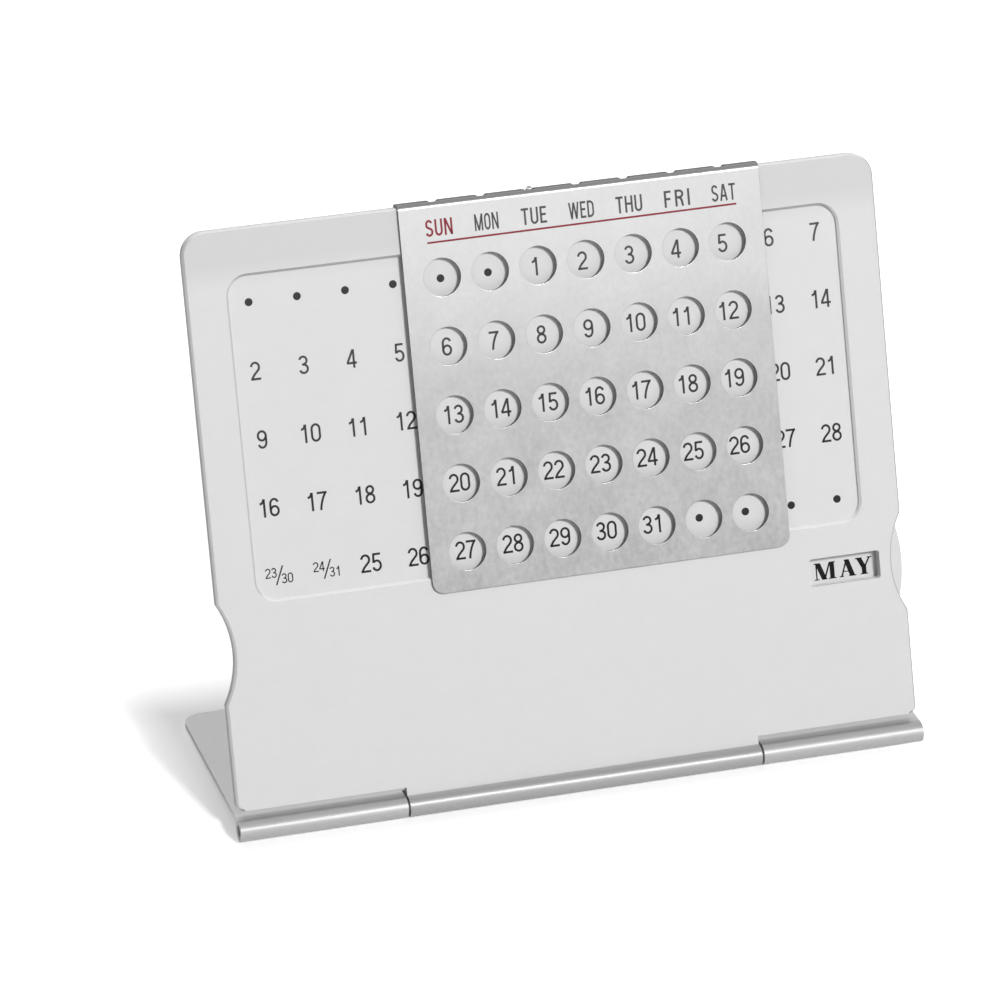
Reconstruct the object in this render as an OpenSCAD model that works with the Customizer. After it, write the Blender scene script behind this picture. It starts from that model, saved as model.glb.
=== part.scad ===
// Perpetual desk calendar. A plate leans back on a hinged foot plate. A sliding window hooks over
// the plate's top edge, clicks from one weekday column to the next on a sprung pin, and a month
// wheel turns on a stud behind the plate.
// All sizes are in millimetres. +X is to the right, +Y to the back and +Z up. The floor is z = 0.

/* [Plate] */
// Width of the leaning plate
panel_w = 150.2; // [149:0.2:153]
// Height of the plate's top edge, measured up the plate from the hinge axis
panel_top = 125.35; // [124.6:0.05:128]
// Height of the plate's lower edge beside the middle knuckle
panel_bottom = 4.05; // [3.7:0.05:4.4]
// Thickness of the plate
panel_t = 2.4; // [2.3:0.05:2.7]
// Radius of the plate's upper corners
panel_top_r = 5; // [3:0.5:6]
// Radius of the plate's lower corners
panel_low_r = 1.7; // [1:0.1:3]
// Width of the bevel round the plate's front edge
edge_break = 0.45; // [0.2:0.05:0.6]
// Angle by which the plate leans back from upright
lean = 21.5; // [10:0.5:30]

/* [Finger scallops] */
// Radius of the scallops in the plate's side edges
scallop_r = 21.3; // [19:0.1:24]
// Depth of the scallops
scallop_depth = 2.8; // [2:0.1:3.2]
// Height of the scallops' centre, which is also the wheel's centre
scallop_v = 37.25; // [36:0.05:38.5]

/* [Date recess] */
// Width of the recess that holds the printed dates
recess_w = 132.4; // [128:0.2:134]
// Lower edge of the recess
recess_low = 47.45; // [46.8:0.05:49]
// Upper edge of the recess
recess_high = 115.25; // [114:0.05:115.6]
// Depth of the recess
recess_depth = 1; // [0.6:0.1:1.2]
// Corner radius of the recess
recess_r = 4.2; // [2:0.1:6]
// Width of the bevel round the recess's rim
recess_bevel = 0.5; // [0.2:0.05:0.55]

/* [Month window] */
// Width of the month window
month_w = 15.7; // [13:0.1:16.5]
// Height of the month window
month_h = 6; // [5:0.1:6.5]
// Distance of the window's centre from the middle of the plate
month_u = 61.7; // [61:0.1:62.2]
// Corner radius of the month window
month_r = 0.6; // [0.3:0.1:1]

/* [Hinge] */
// Outer radius of the hinge knuckles
knuckle_r = 2.26; // [2.2:0.02:2.5]
// Radius of the hinge pin
pin_r = 1.22; // [1:0.02:1.3]
// Length of the middle knuckle, which belongs to the plate
mid_knuckle = 77.7; // [70:0.1:86]
// Gap between neighbouring knuckles
knuckle_gap = 0.5; // [0.3:0.05:0.8]
// Depth by which each end of the pin sits inside its knuckle
pin_recess = 1.6; // [0.5:0.1:3]

/* [Foot plate] */
// Reach of the foot plate behind the hinge axis
base_depth = 49.5; // [45:0.5:60]
// Thickness of the foot plate
base_t = 1.1; // [0.9:0.05:1.3]
// Radius of the foot plate's rear corners
base_r = 4; // [2:0.5:6]
// Width of the flat under the rear edge that the foot plate rests on
rest_flat = 1.4; // [1:0.1:2]

/* [Sliding window] */
// Width of the sliding window
slide_w = 78.7; // [77:0.1:80]
// Lower edge of the sliding window
slide_low = 43.95; // [43:0.05:44.5]
// Thickness of the window's sheet
slide_t = 0.55; // [0.5:0.05:0.6]
// Gap between the sheet and the plate
slide_gap = 0.1; // [0.08:0.01:0.15]
// Outer radius of the sheet's front bend
bend_r = 1.35; // [1.2:0.05:1.4]
// Outer radius of the sheet's back bend
back_bend_r = 0.85; // [0.8:0.01:0.85]
// Length of the lip behind the plate
lip_len = 9; // [6:0.5:12]
// Radius of the sheet's lower corners
slide_r = 2.5; // [1:0.1:4]
// Radius of the date holes
hole_r = 4.05; // [3.8:0.05:4.2]
// Distance between columns of holes
hole_du = 10.4; // [10.3:0.05:10.5]
// Distance between rows of holes
hole_dv = 14.46; // [14.2:0.02:14.5]
// Height of the lowest row of holes
hole_low_v = 52.2; // [51.9:0.05:52.6]
// Number of columns to the right of the middle at which the window stands
slide_stop = 1; // [-3:1:3]

/* [Click pin] */
// Radius of the click pin and of its round nose
click_r = 0.75; // [0.7:0.01:0.78]
// Height of the nose's tip above the plate's top edge
click_rise = 1.3; // [1.2:0.05:1.4]
// Length of the click pin
click_len = 5.8; // [5:0.1:6]
// Depth of the pin's hole in the plate's top edge
click_depth = 8.6; // [8.2:0.1:8.9]
// Width of a notch at its mouth
notch_top_w = 2.4; // [2.2:0.05:2.8]
// Wire radius of the spring below the click pin
spring_wire_r = 0.12; // [0.1:0.01:0.14]
// Number of turns of that spring
spring_turns = 8; // [6:1:10]

/* [Month wheel] */
// Radius of the month wheel
wheel_r = 30.4; // [30:0.1:30.8]
// Thickness of the month wheel
wheel_t = 0.8; // [0.6:0.05:1]
// Distance of the wheel's centre from the middle of the plate
wheel_u = 45.1; // [44.8:0.1:45.2]
// Radius of the stud the wheel turns on
stud_r = 2; // [1.6:0.05:2.4]
// Thickness of the spacer between plate and wheel
spacer_t = 0.35; // [0.3:0.05:0.5]
// Radius of the spacer
spacer_r = 5; // [4:0.5:7]
// Radius of the retaining cap
cap_r = 3.8; // [3.4:0.1:5]

/* [Hidden] */
$fn = 96;

// Clearances between pieces that fit together
run_fit = 0.03;      // radial, pins and studs in their bores
wheel_fit = 0.05;    // radial, wheel bore on its stud
notch_fit = 0.07;    // each side, click pin in the bottom of a notch
over = 1;            // how far a cutter reaches past the face it cuts
rows = 5;
columns = 7;

// Plate, in its own frame: x along the width, y to the back, z up the plate from the hinge axis
back_y = knuckle_r;
front_y = back_y - panel_t;
recess_y = front_y + recess_depth;
half_w = panel_w / 2;
scallop_u = half_w - scallop_depth + scallop_r;

// Hinge
bore_r = pin_r + run_fit;
mid_half = mid_knuckle / 2;
mid_shift = 0.3;     // middle of the plate's knuckle from the middle of the plate
foot_shift = 0.2;    // middle of the foot plate from the middle of the plate
foot_proud = 0.3;    // how much further the foot plate reaches to each side than the plate
stop_gap = 0.05;     // left between the plate's back and the foot plate's stop edge
base_half = half_w + foot_proud;
pin_len = 2 * (base_half - pin_recess);

// Foot plate: it slopes so that its rear lower edge comes down to the floor
base_z = knuckle_r - base_t;
base_reach = norm([base_depth, base_z]);
flat_drop = rest_flat * sin(4);
base_slope = asin((knuckle_r + flat_drop) / base_reach) + atan(base_z / base_depth);
base_len = (base_depth - base_z * sin(base_slope)) / cos(base_slope);
stop_angle = lean - base_slope;
stop_edge = (knuckle_r * (1 + sin(stop_angle)) + stop_gap) / cos(stop_angle);

// Origin at the middle of the whole object's footprint, on the floor
right_reach = max(wheel_u + wheel_r, base_half + foot_shift);
left_reach = max(half_w, base_half - foot_shift);
origin_x = -(right_reach - left_reach) / 2;
rear_y = base_len * cos(base_slope) + knuckle_r * sin(base_slope);
origin_y = -(rear_y - knuckle_r) / 2;
foot_x = origin_x + foot_shift;
knuckle_left = mid_shift - foot_shift - mid_half - knuckle_gap;
knuckle_right = mid_shift - foot_shift + mid_half + knuckle_gap;

// Sliding window
slide_u = slide_stop * hole_du;
sheet_y0 = front_y - slide_gap - slide_t;
sheet_y1 = back_y + slide_gap + slide_t;
sheet_top = panel_top + slide_gap + slide_t;
bend_in = bend_r - slide_t;
back_bend_in = back_bend_r - slide_t;
lip_low = sheet_top - lip_len;
notch_low_w = 2 * (click_r + notch_fit);

// Click pin and spring
click_y = front_y + panel_t / 2;
click_bore_r = click_r + run_fit;
click_tip = panel_top + click_rise;
click_low = click_tip - click_len;
click_floor = panel_top - click_depth;
spring_r = click_r - spring_wire_r - 0.02;
spring_h = click_low - click_floor;
spring_rise = spring_h - 2 * spring_wire_r;

// Month wheel stack, from the plate's back outwards
stud_sink = 1.5;
wheel_y = back_y + spacer_t;
washer_y = wheel_y + wheel_t;
washer_t = 0.4;
cap_y = washer_y + washer_t;
cap_t = 0.8;
stud_tail = 0.4;
wheel_chamfer = 0.15;

// Puts a piece of the plate into the leaning pose
module leaning() {
  translate([origin_x, origin_y, knuckle_r]) rotate([-lean, 0, 0]) children();
}

// A flat outline, drawn in x and z, given thickness from y0 to y1
module slab(y0, y1) {
  translate([0, y1, 0]) rotate([90, 0, 0]) linear_extrude(y1 - y0) children();
}

// A round bar along y
module bar_y(x, z, r, y0, y1) {
  translate([x, y1, z]) rotate([90, 0, 0]) cylinder(r = r, h = y1 - y0);
}

// A round bar along x
module bar_x(r, x0, x1) {
  translate([x0, 0, 0]) rotate([0, 90, 0]) cylinder(r = r, h = x1 - x0);
}

// Rectangle with separate radii at its lower and upper corners
module corner_rect(x0, x1, z0, z1, r_low, r_high) {
  translate([x0, z0 + r_low]) square([x1 - x0, z1 - z0 - r_low - r_high]);
  translate([x0 + r_low, z0]) square([x1 - x0 - 2 * r_low, r_low]);
  translate([x0 + r_high, z1 - r_high]) square([x1 - x0 - 2 * r_high, r_high]);
  for (x = [x0 + r_low, x1 - r_low]) translate([x, z0 + r_low]) circle(r_low);
  for (x = [x0 + r_high, x1 - r_high]) translate([x, z1 - r_high]) circle(r_high);
}

// Section of a 45 degree edge bevel: x is outwards from the edge, y is into the plate
module bevel_section(c) {
  polygon([[-c - over, -over], [over, -over], [over, c + over]]);
}

// Bevel cutter along a straight front edge that faces +x in its own frame
module bevel_straight(len) {
  linear_extrude(len) bevel_section(edge_break);
}

// Bevel cutter round a convex corner, a quarter turn from +x towards +z
module bevel_corner(r) {
  rotate([90, 0, 0]) mirror([0, 0, 1]) rotate_extrude(angle = 90)
    translate([r, 0]) bevel_section(edge_break);
}

// Bevel cutter round a scallop, whose metal lies outside the circle
module bevel_scallop() {
  rotate([-90, 0, 0]) rotate_extrude()
    translate([scallop_r, 0]) mirror([1, 0]) bevel_section(edge_break);
}

// Section of the recess rim's bevel: x is towards the recess, and the metal lies at x < 0
module rim_section() {
  polygon([[-recess_bevel - over, -over], [over, -over], [over, recess_bevel], [0, recess_bevel]]);
}

// Bevel cutter round a corner of the recess, a quarter turn from +x towards +z
module rim_corner() {
  rotate([90, 0, 0]) mirror([0, 0, 1]) rotate_extrude(angle = 90)
    translate([recess_r, 0]) mirror([1, 0]) rim_section();
}

// All the bevels of the recess's rim
module recess_rim() {
  mid_v = (recess_low + recess_high) / 2;
  across = recess_w - 2 * recess_r;
  upright = recess_high - recess_low - 2 * recess_r;
  translate([0, front_y, mid_v]) for (s = [0, 1]) {
    mirror([s, 0, 0]) translate([-recess_w / 2, 0, -upright / 2]) linear_extrude(upright)
      rim_section();
    mirror([0, 0, s]) translate([-across / 2, 0, upright / 2 + recess_r]) rotate([0, 90, 0])
      linear_extrude(across) rim_section();
    for (t = [0, 1]) mirror([s, 0, 0]) mirror([0, 0, t])
      translate([recess_w / 2 - recess_r, 0, upright / 2]) rim_corner();
  }
}

// All the bevels of the plate's front edge
module front_bevels() {
  translate([0, front_y, 0]) {
    for (s = [0, 1]) mirror([s, 0, 0]) {
      translate([half_w, 0, panel_bottom + panel_low_r])
        bevel_straight(panel_top - panel_bottom - panel_top_r - panel_low_r);
      translate([half_w - panel_top_r, 0, panel_top - panel_top_r]) bevel_corner(panel_top_r);
      translate([half_w - panel_low_r, 0, panel_bottom + panel_low_r])
        mirror([0, 0, 1]) bevel_corner(panel_low_r);
      translate([scallop_u, 0, scallop_v]) bevel_scallop();
    }
    translate([-half_w + panel_top_r, 0, panel_top]) rotate([0, 90, 0])
      mirror([1, 0, 0]) bevel_straight(panel_w - 2 * panel_top_r);
  }
}

// Middle knuckle: round below and in front, and joined tangentially to the plate's back
module plate_knuckle() {
  translate([mid_shift - mid_half, 0, 0]) rotate([90, 0, 90]) linear_extrude(mid_knuckle) {
    intersection() {
      circle(knuckle_r);
      translate([-knuckle_r - over, -knuckle_r - over])
        square([2 * (knuckle_r + over), knuckle_r + over]);
    }
    intersection() {
      circle(knuckle_r);
      translate([-knuckle_r - over, 0]) square([knuckle_r + over + front_y, knuckle_r + over]);
    }
    translate([front_y, 0]) square([panel_t, panel_bottom + over]);
  }
}

module calendar_plate() {
  color("gainsboro") leaning() {
    difference() {
      union() {
        slab(front_y, back_y)
          corner_rect(-half_w, half_w, panel_bottom, panel_top, panel_low_r, panel_top_r);
        plate_knuckle();
      }
      for (s = [-1, 1])
        bar_y(s * scallop_u, scallop_v, scallop_r, front_y - over, back_y + over);
      slab(front_y - over, recess_y)
        corner_rect(-recess_w / 2, recess_w / 2, recess_low, recess_high, recess_r, recess_r);
      slab(front_y - over, back_y + over)
        corner_rect(month_u - month_w / 2, month_u + month_w / 2,
                    scallop_v - month_h / 2, scallop_v + month_h / 2, month_r, month_r);
      bar_x(bore_r, mid_shift - mid_half - over, mid_shift + mid_half + over);
      translate([0, click_y, click_floor]) cylinder(r = click_bore_r, h = click_depth + over);
      bar_y(wheel_u, scallop_v, stud_r + run_fit, back_y - stud_sink, back_y + over);
      front_bevels();
      recess_rim();
    }
  }
}

// Outline of the foot plate seen from above, with the gap for the middle knuckle
module foot_outline() {
  difference() {
    union() {
      translate([-base_half, 0]) square([2 * base_half, base_len - base_r]);
      translate([-base_half + base_r, 0]) square([2 * (base_half - base_r), base_len]);
      for (s = [-1, 1]) translate([s * (base_half - base_r), base_len - base_r]) circle(base_r);
    }
    translate([knuckle_left, -over]) square([knuckle_right - knuckle_left, stop_edge + over]);
  }
}

// Outer knuckle: round in front, and joined tangentially to the foot plate's top face
module foot_knuckle(x0, x1) {
  translate([x0, 0, 0]) rotate([90, 0, 90]) linear_extrude(x1 - x0) {
    intersection() {
      circle(knuckle_r);
      translate([-knuckle_r - over, -knuckle_r - over])
        square([knuckle_r + over, 2 * (knuckle_r + over)]);
    }
    intersection() {
      circle(knuckle_r);
      translate([0, -knuckle_r - over]) square([knuckle_r + over, base_z + knuckle_r + over]);
    }
  }
}

module foot_plate() {
  color("lightslategray") translate([foot_x, origin_y, knuckle_r]) difference() {
    rotate([-base_slope, 0, 0]) union() {
      translate([0, 0, base_z]) linear_extrude(base_t) foot_outline();
      foot_knuckle(-base_half, knuckle_left);
      foot_knuckle(knuckle_right, base_half);
    }
    bar_x(bore_r, -base_half - over, base_half + over);
    translate([-base_half - over, base_depth / 2, -knuckle_r - 2 * over])
      cube([2 * (base_half + over), base_depth, 2 * over]);
  }
}

module hinge_pin() {
  color("silver") translate([foot_x, origin_y, knuckle_r])
    bar_x(pin_r, -pin_len / 2, pin_len / 2);
}

// Side section of a folded sheet's outside or inside, x to the back and y up, with the radii of
// its front and back bends
module fold_section(y0, y1, top, r0, r1) {
  translate([y0, slide_low - over]) square([y1 - y0, top - r0 - slide_low + over]);
  translate([y0 + r0, top - r0]) square([y1 - y0 - r0 - r1, r0]);
  translate([y1 - r1, top - r0]) square([r1, r0 - r1]);
  translate([y0 + r0, top - r0]) circle(r0);
  translate([y1 - r1, top - r1]) circle(r1);
}

// Side section of the sliding window: front sheet, top fold and the lip behind the plate
module slide_section() {
  difference() {
    fold_section(sheet_y0, sheet_y1, sheet_top, bend_r, back_bend_r);
    fold_section(sheet_y0 + slide_t, sheet_y1 - slide_t, sheet_top - slide_t,
                 bend_in, back_bend_in);
    translate([sheet_y1 - slide_t - slide_gap, slide_low - 2 * over])
      square([slide_t + slide_gap + over, lip_low - slide_low + 2 * over]);
  }
}

// One notch over a weekday column, open to the back
module notch() {
  slope = (notch_top_w - notch_low_w) / 2 / slide_t;
  high_w = notch_top_w + 2 * slope * over;
  low_z = panel_top - slide_gap;
  slab(front_y + slide_gap, sheet_y1 + over)
    polygon([[-notch_low_w / 2, low_z],
             [notch_low_w / 2, low_z],
             [notch_low_w / 2, panel_top + slide_gap],
             [high_w / 2, sheet_top + over],
             [-high_w / 2, sheet_top + over],
             [-notch_low_w / 2, panel_top + slide_gap]]);
}

module sliding_window() {
  color("whitesmoke") leaning() translate([slide_u, 0, 0]) difference() {
    intersection() {
      translate([-slide_w / 2, 0, 0]) rotate([90, 0, 90]) linear_extrude(slide_w) slide_section();
      slab(sheet_y0 - over, sheet_y1 + over)
        corner_rect(-slide_w / 2, slide_w / 2, slide_low, sheet_top + slide_r, slide_r, slide_r);
    }
    for (c = [0 : columns - 1]) {
      u = (c - (columns - 1) / 2) * hole_du;
      translate([u, 0, 0]) notch();
      for (r = [0 : rows - 1])
        bar_y(u, hole_low_v + r * hole_dv, hole_r, sheet_y0 - over, front_y + slide_gap);
    }
  }
}

module click_pin() {
  color("silver") leaning() translate([0, click_y, click_low]) {
    cylinder(r = click_r, h = click_len - click_r);
    translate([0, 0, click_len - click_r]) sphere(click_r);
  }
}

module click_spring() {
  color("dimgray") leaning() translate([0, click_y, click_floor + spring_wire_r])
    linear_extrude(spring_rise, twist = -360 * spring_turns, slices = 12 * spring_turns, $fn = 8)
      translate([spring_r, 0]) circle(spring_wire_r, $fn = 8);
}

module month_wheel() {
  color("white") leaning() translate([wheel_u, wheel_y, scallop_v]) rotate([-90, 0, 0])
    rotate_extrude($fn = 240)
      polygon([[stud_r + wheel_fit, 0],
               [wheel_r - wheel_chamfer, 0],
               [wheel_r, wheel_chamfer],
               [wheel_r, wheel_t - wheel_chamfer],
               [wheel_r - wheel_chamfer, wheel_t],
               [stud_r + wheel_fit, wheel_t]]);
}

module wheel_stud() {
  color("silver") leaning()
    bar_y(wheel_u, scallop_v, stud_r, back_y - stud_sink, cap_y + cap_t + stud_tail);
}

module wheel_spacer() {
  color("tan") leaning() difference() {
    bar_y(wheel_u, scallop_v, spacer_r, back_y, back_y + spacer_t);
    bar_y(wheel_u, scallop_v, stud_r + wheel_fit, back_y - over, back_y + spacer_t + over);
  }
}

// Dished washer: its rim bears on the wheel and its middle on the cap
module wave_washer() {
  color("darkgray") leaning() translate([wheel_u, washer_y, scallop_v]) rotate([-90, 0, 0])
    rotate_extrude()
      polygon([[stud_r + wheel_fit, washer_t / 2],
               [cap_r, 0],
               [cap_r + 0.4, 0],
               [cap_r + 0.4, washer_t / 2],
               [stud_r + wheel_fit + 0.5, washer_t],
               [stud_r + wheel_fit, washer_t]]);
}

module retaining_cap() {
  color("silver") leaning() difference() {
    bar_y(wheel_u, scallop_v, cap_r, cap_y, cap_y + cap_t);
    bar_y(wheel_u, scallop_v, stud_r + run_fit, cap_y - over, cap_y + cap_t + over);
  }
}

foot_plate();
hinge_pin();
calendar_plate();
sliding_window();
click_pin();
click_spring();
month_wheel();
wheel_stud();
wheel_spacer();
wave_washer();
retaining_cap();
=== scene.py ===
"""Looks of a perpetual desk calendar.

A metal plate leans back on a hinged foot plate. A sliding window of sheet metal hooks over the
plate's top edge, and a month wheel turns behind the plate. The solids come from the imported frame;
this script gives them fine edges and metal finishes, prints the dates, weekday names and months
on them, and sets up a pale studio.
"""

import logging
import math
from dataclasses import dataclass, field
from enum import Enum

import bpy
from mathutils import Matrix, Vector


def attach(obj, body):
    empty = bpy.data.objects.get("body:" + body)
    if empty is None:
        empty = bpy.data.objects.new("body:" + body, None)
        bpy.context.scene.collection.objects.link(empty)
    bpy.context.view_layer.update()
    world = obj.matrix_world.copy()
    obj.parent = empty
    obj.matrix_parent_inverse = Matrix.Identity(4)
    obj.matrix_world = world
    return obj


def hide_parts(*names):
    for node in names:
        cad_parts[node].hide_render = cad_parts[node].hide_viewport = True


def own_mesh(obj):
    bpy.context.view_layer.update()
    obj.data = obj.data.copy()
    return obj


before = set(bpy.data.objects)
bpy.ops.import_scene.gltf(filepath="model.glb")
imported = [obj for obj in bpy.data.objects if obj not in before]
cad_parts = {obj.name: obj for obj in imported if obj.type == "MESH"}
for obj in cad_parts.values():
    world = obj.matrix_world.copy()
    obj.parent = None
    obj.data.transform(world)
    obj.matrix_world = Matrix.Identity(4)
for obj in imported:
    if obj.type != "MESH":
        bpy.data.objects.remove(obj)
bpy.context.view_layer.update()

LOG = logging.getLogger("desk_calendar")
MM = 0.001
TINY = 1e-6
DAYS_IN_WEEK = 7
WHITE = (1.0, 1.0, 1.0, 1.0)
Point = tuple[float, float]
Outline = list[Point]
Colour = tuple[float, float, float, float]
Socket = bpy.types.NodeSocket


# ---------------------------------------------------------------------------------------------
# Places on the calendar
# ---------------------------------------------------------------------------------------------


@dataclass(frozen=True)
class PlateFrame:
    """The leaning plate's own axes: u along its width, v up the plate and w out of its front.

    The origin is the middle of the hinge axis, and the front face lies at front from it. In mm.
    """

    lean: float = math.radians(21.5)
    front: float = -0.14
    origin: Vector = Vector((-0.2, -23.659, 2.26))

    def across(self) -> Vector:
        """Returns the direction along the plate's width."""
        return Vector((1.0, 0.0, 0.0))

    def up(self) -> Vector:
        """Returns the direction up the plate."""
        return Vector((0.0, math.sin(self.lean), math.cos(self.lean)))

    def out(self) -> Vector:
        """Returns the direction out of the plate's front face."""
        return Vector((0.0, -math.cos(self.lean), math.sin(self.lean)))

    def point(self, u: float, v: float, w: float) -> Vector:
        """Places a point of the plate in the row frame.

        Args:
            u: Distance to the right of the plate's middle, in mm.
            v: Distance up the plate from the hinge axis, in mm.
            w: Distance out of the plate's front face, in mm.

        Returns:
            The point in metres.
        """
        place = self.origin + self.up() * v + self.out() * (w - self.front)
        return (place + self.across() * u) * MM

    def print_plane(self, u: float, v: float, w: float, turn: float = 0.0) -> Matrix:
        """Makes the matrix of a print plane just above a face that lies in the plate's plane.

        Args:
            u: Place of the plane's origin along the plate, in mm.
            v: Place of the plane's origin up the plate, in mm.
            w: Height of the face that is printed on, in mm.
            turn: Angle in degrees by which the print is turned to the left.

        Returns:
            The matrix from the print plane to the row frame.
        """
        c, s = math.cos(math.radians(turn)), math.sin(math.radians(turn))
        x = self.across() * c + self.up() * s
        y = self.up() * c - self.across() * s
        place = Matrix((x, y, self.out())).transposed().to_4x4()
        place.translation = self.point(u, v, w + LAYOUT.ink_gap)
        return place


PLATE = PlateFrame()


@dataclass(frozen=True)
class CalendarLayout:
    """Sizes that the printing shares with the solids, in mm.

    A name ends in the axis of the plate that it is measured along, with a d where it is the step
    from one place to the next.
    """

    window_u: float = 10.25
    hole_du: float = 10.4
    date_du: float = 10.28
    date_u: float = -0.2
    date_dv: float = 14.35
    date_v: float = 80.95
    recess_w: float = -1.0
    window_w: float = 0.65
    wheel_u: float = 45.1
    wheel_v: float = 37.25
    wheel_w: float = -2.75
    ink_gap: float = 0.002


LAYOUT = CalendarLayout()


def dress_node(name: str, finish: bpy.types.Material) -> bpy.types.Object:
    """Gives a carried-over solid its finish.

    Args:
        name: Name of the solid's node.
        finish: Its material.

    Returns:
        The node's object.
    """
    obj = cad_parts[name]
    obj.data.materials.clear()
    obj.data.materials.append(finish)
    return obj


def add_mesh(
    name: str, points: list[Vector], faces: list[list[int]], finish: bpy.types.Material
) -> bpy.types.Object:
    """Adds a mesh to the scene.

    Args:
        name: Name of the mesh and its object.
        points: Places of its points, in metres.
        faces: Numbers of each face's points.
        finish: Its material.

    Returns:
        The object.
    """
    mesh = bpy.data.meshes.new(name)
    mesh.from_pydata([tuple(p) for p in points], [], faces)
    mesh.materials.append(finish)
    obj = bpy.data.objects.new(name, mesh)
    bpy.context.scene.collection.objects.link(obj)
    return obj


# ---------------------------------------------------------------------------------------------
# Lettering
# ---------------------------------------------------------------------------------------------


def arc(
    cx: float, cy: float, rx: float, ry: float, start: float, end: float, steps: int
) -> Outline:
    """Samples part of an ellipse.

    Args:
        cx: Centre across.
        cy: Centre up.
        rx: Radius across.
        ry: Radius up.
        start: First angle in degrees.
        end: Last angle in degrees.
        steps: Number of chords.

    Returns:
        The points from start to end.
    """
    angles = [math.radians(start + (end - start) * i / steps) for i in range(steps + 1)]
    return [(cx + rx * math.cos(a), cy + ry * math.sin(a)) for a in angles]


def disc(cx: float, cy: float, radius: float, sides: int) -> Outline:
    """Returns a filled round's outline."""
    return arc(cx, cy, radius, radius, 0, 360, sides)[:-1]


def box(x0: float, x1: float, y0: float, y1: float) -> Outline:
    """Returns an upright rectangle's outline."""
    return [(x0, y0), (x1, y0), (x1, y1), (x0, y1)]


def curve(p0: Point, p1: Point, p2: Point, p3: Point, steps: int) -> Outline:
    """Samples a cubic curve.

    Args:
        p0: Start point.
        p1: First handle.
        p2: Second handle.
        p3: End point.
        steps: Number of chords.

    Returns:
        The points from p0 to p3.
    """
    points = []
    for i in range(steps + 1):
        t = i / steps
        s = 1 - t
        shares = (s**3, 3 * s * s * t, 3 * s * t * t, t**3)
        axes = zip(p0, p1, p2, p3)
        points.append(tuple(sum(k * c for k, c in zip(shares, axis)) for axis in axes))
    return points


def ribbon(path: Outline, widths: list[float]) -> list[Outline]:
    """Turns a path into a strip of flat quads with mitred bends.

    Args:
        path: Centre line.
        widths: Strip width at each point of the path.

    Returns:
        One four-point outline for each chord.
    """
    sharpest = 0.35
    left, right = [], []
    last = len(path) - 1
    for i, (x, y) in enumerate(path):
        ax, ay = path[max(i - 1, 0)]
        bx, by = path[min(i + 1, last)]
        before = Vector((x - ax, y - ay)) if i > 0 else Vector((bx - x, by - y))
        after = Vector((bx - x, by - y)) if i < last else before
        before.normalize()
        after.normalize()
        square = Vector((-before.y, before.x))
        normal = Vector((-before.y - after.y, before.x + after.x))
        if normal.length < TINY:
            normal = square.copy()
        normal.normalize()
        half = widths[i] / 2 / max(normal.dot(square), sharpest)
        left.append((x + normal.x * half, y + normal.y * half))
        right.append((x - normal.x * half, y - normal.y * half))
    return [[left[i], right[i], right[i + 1], left[i + 1]] for i in range(last)]


def even(path: Outline, width: float) -> list[Outline]:
    """Turns a path into a strip of one width."""
    return ribbon(path, [width] * len(path))


@dataclass(frozen=True)
class Glyph:
    """One character: its outlines on a cap height of 1, and its advance width."""

    outlines: list[Outline]
    advance: float


@dataclass
class Face:
    """A typeface: the space at each side of its characters, and pairs that it sets apart."""

    side: float = 0.0
    kerns: dict[str, float] = field(default_factory=dict)
    glyphs: dict[str, Glyph] = field(default_factory=dict)

    def __post_init__(self) -> None:
        """Draws every character once."""
        for name, (width, outlines) in self.draw().items():
            self.glyphs[name] = Glyph(outlines, width + 2 * self.side)

    def draw(self) -> dict[str, tuple[float, list[Outline]]]:
        """Returns the characters' widths and outlines."""
        raise NotImplementedError


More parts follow.
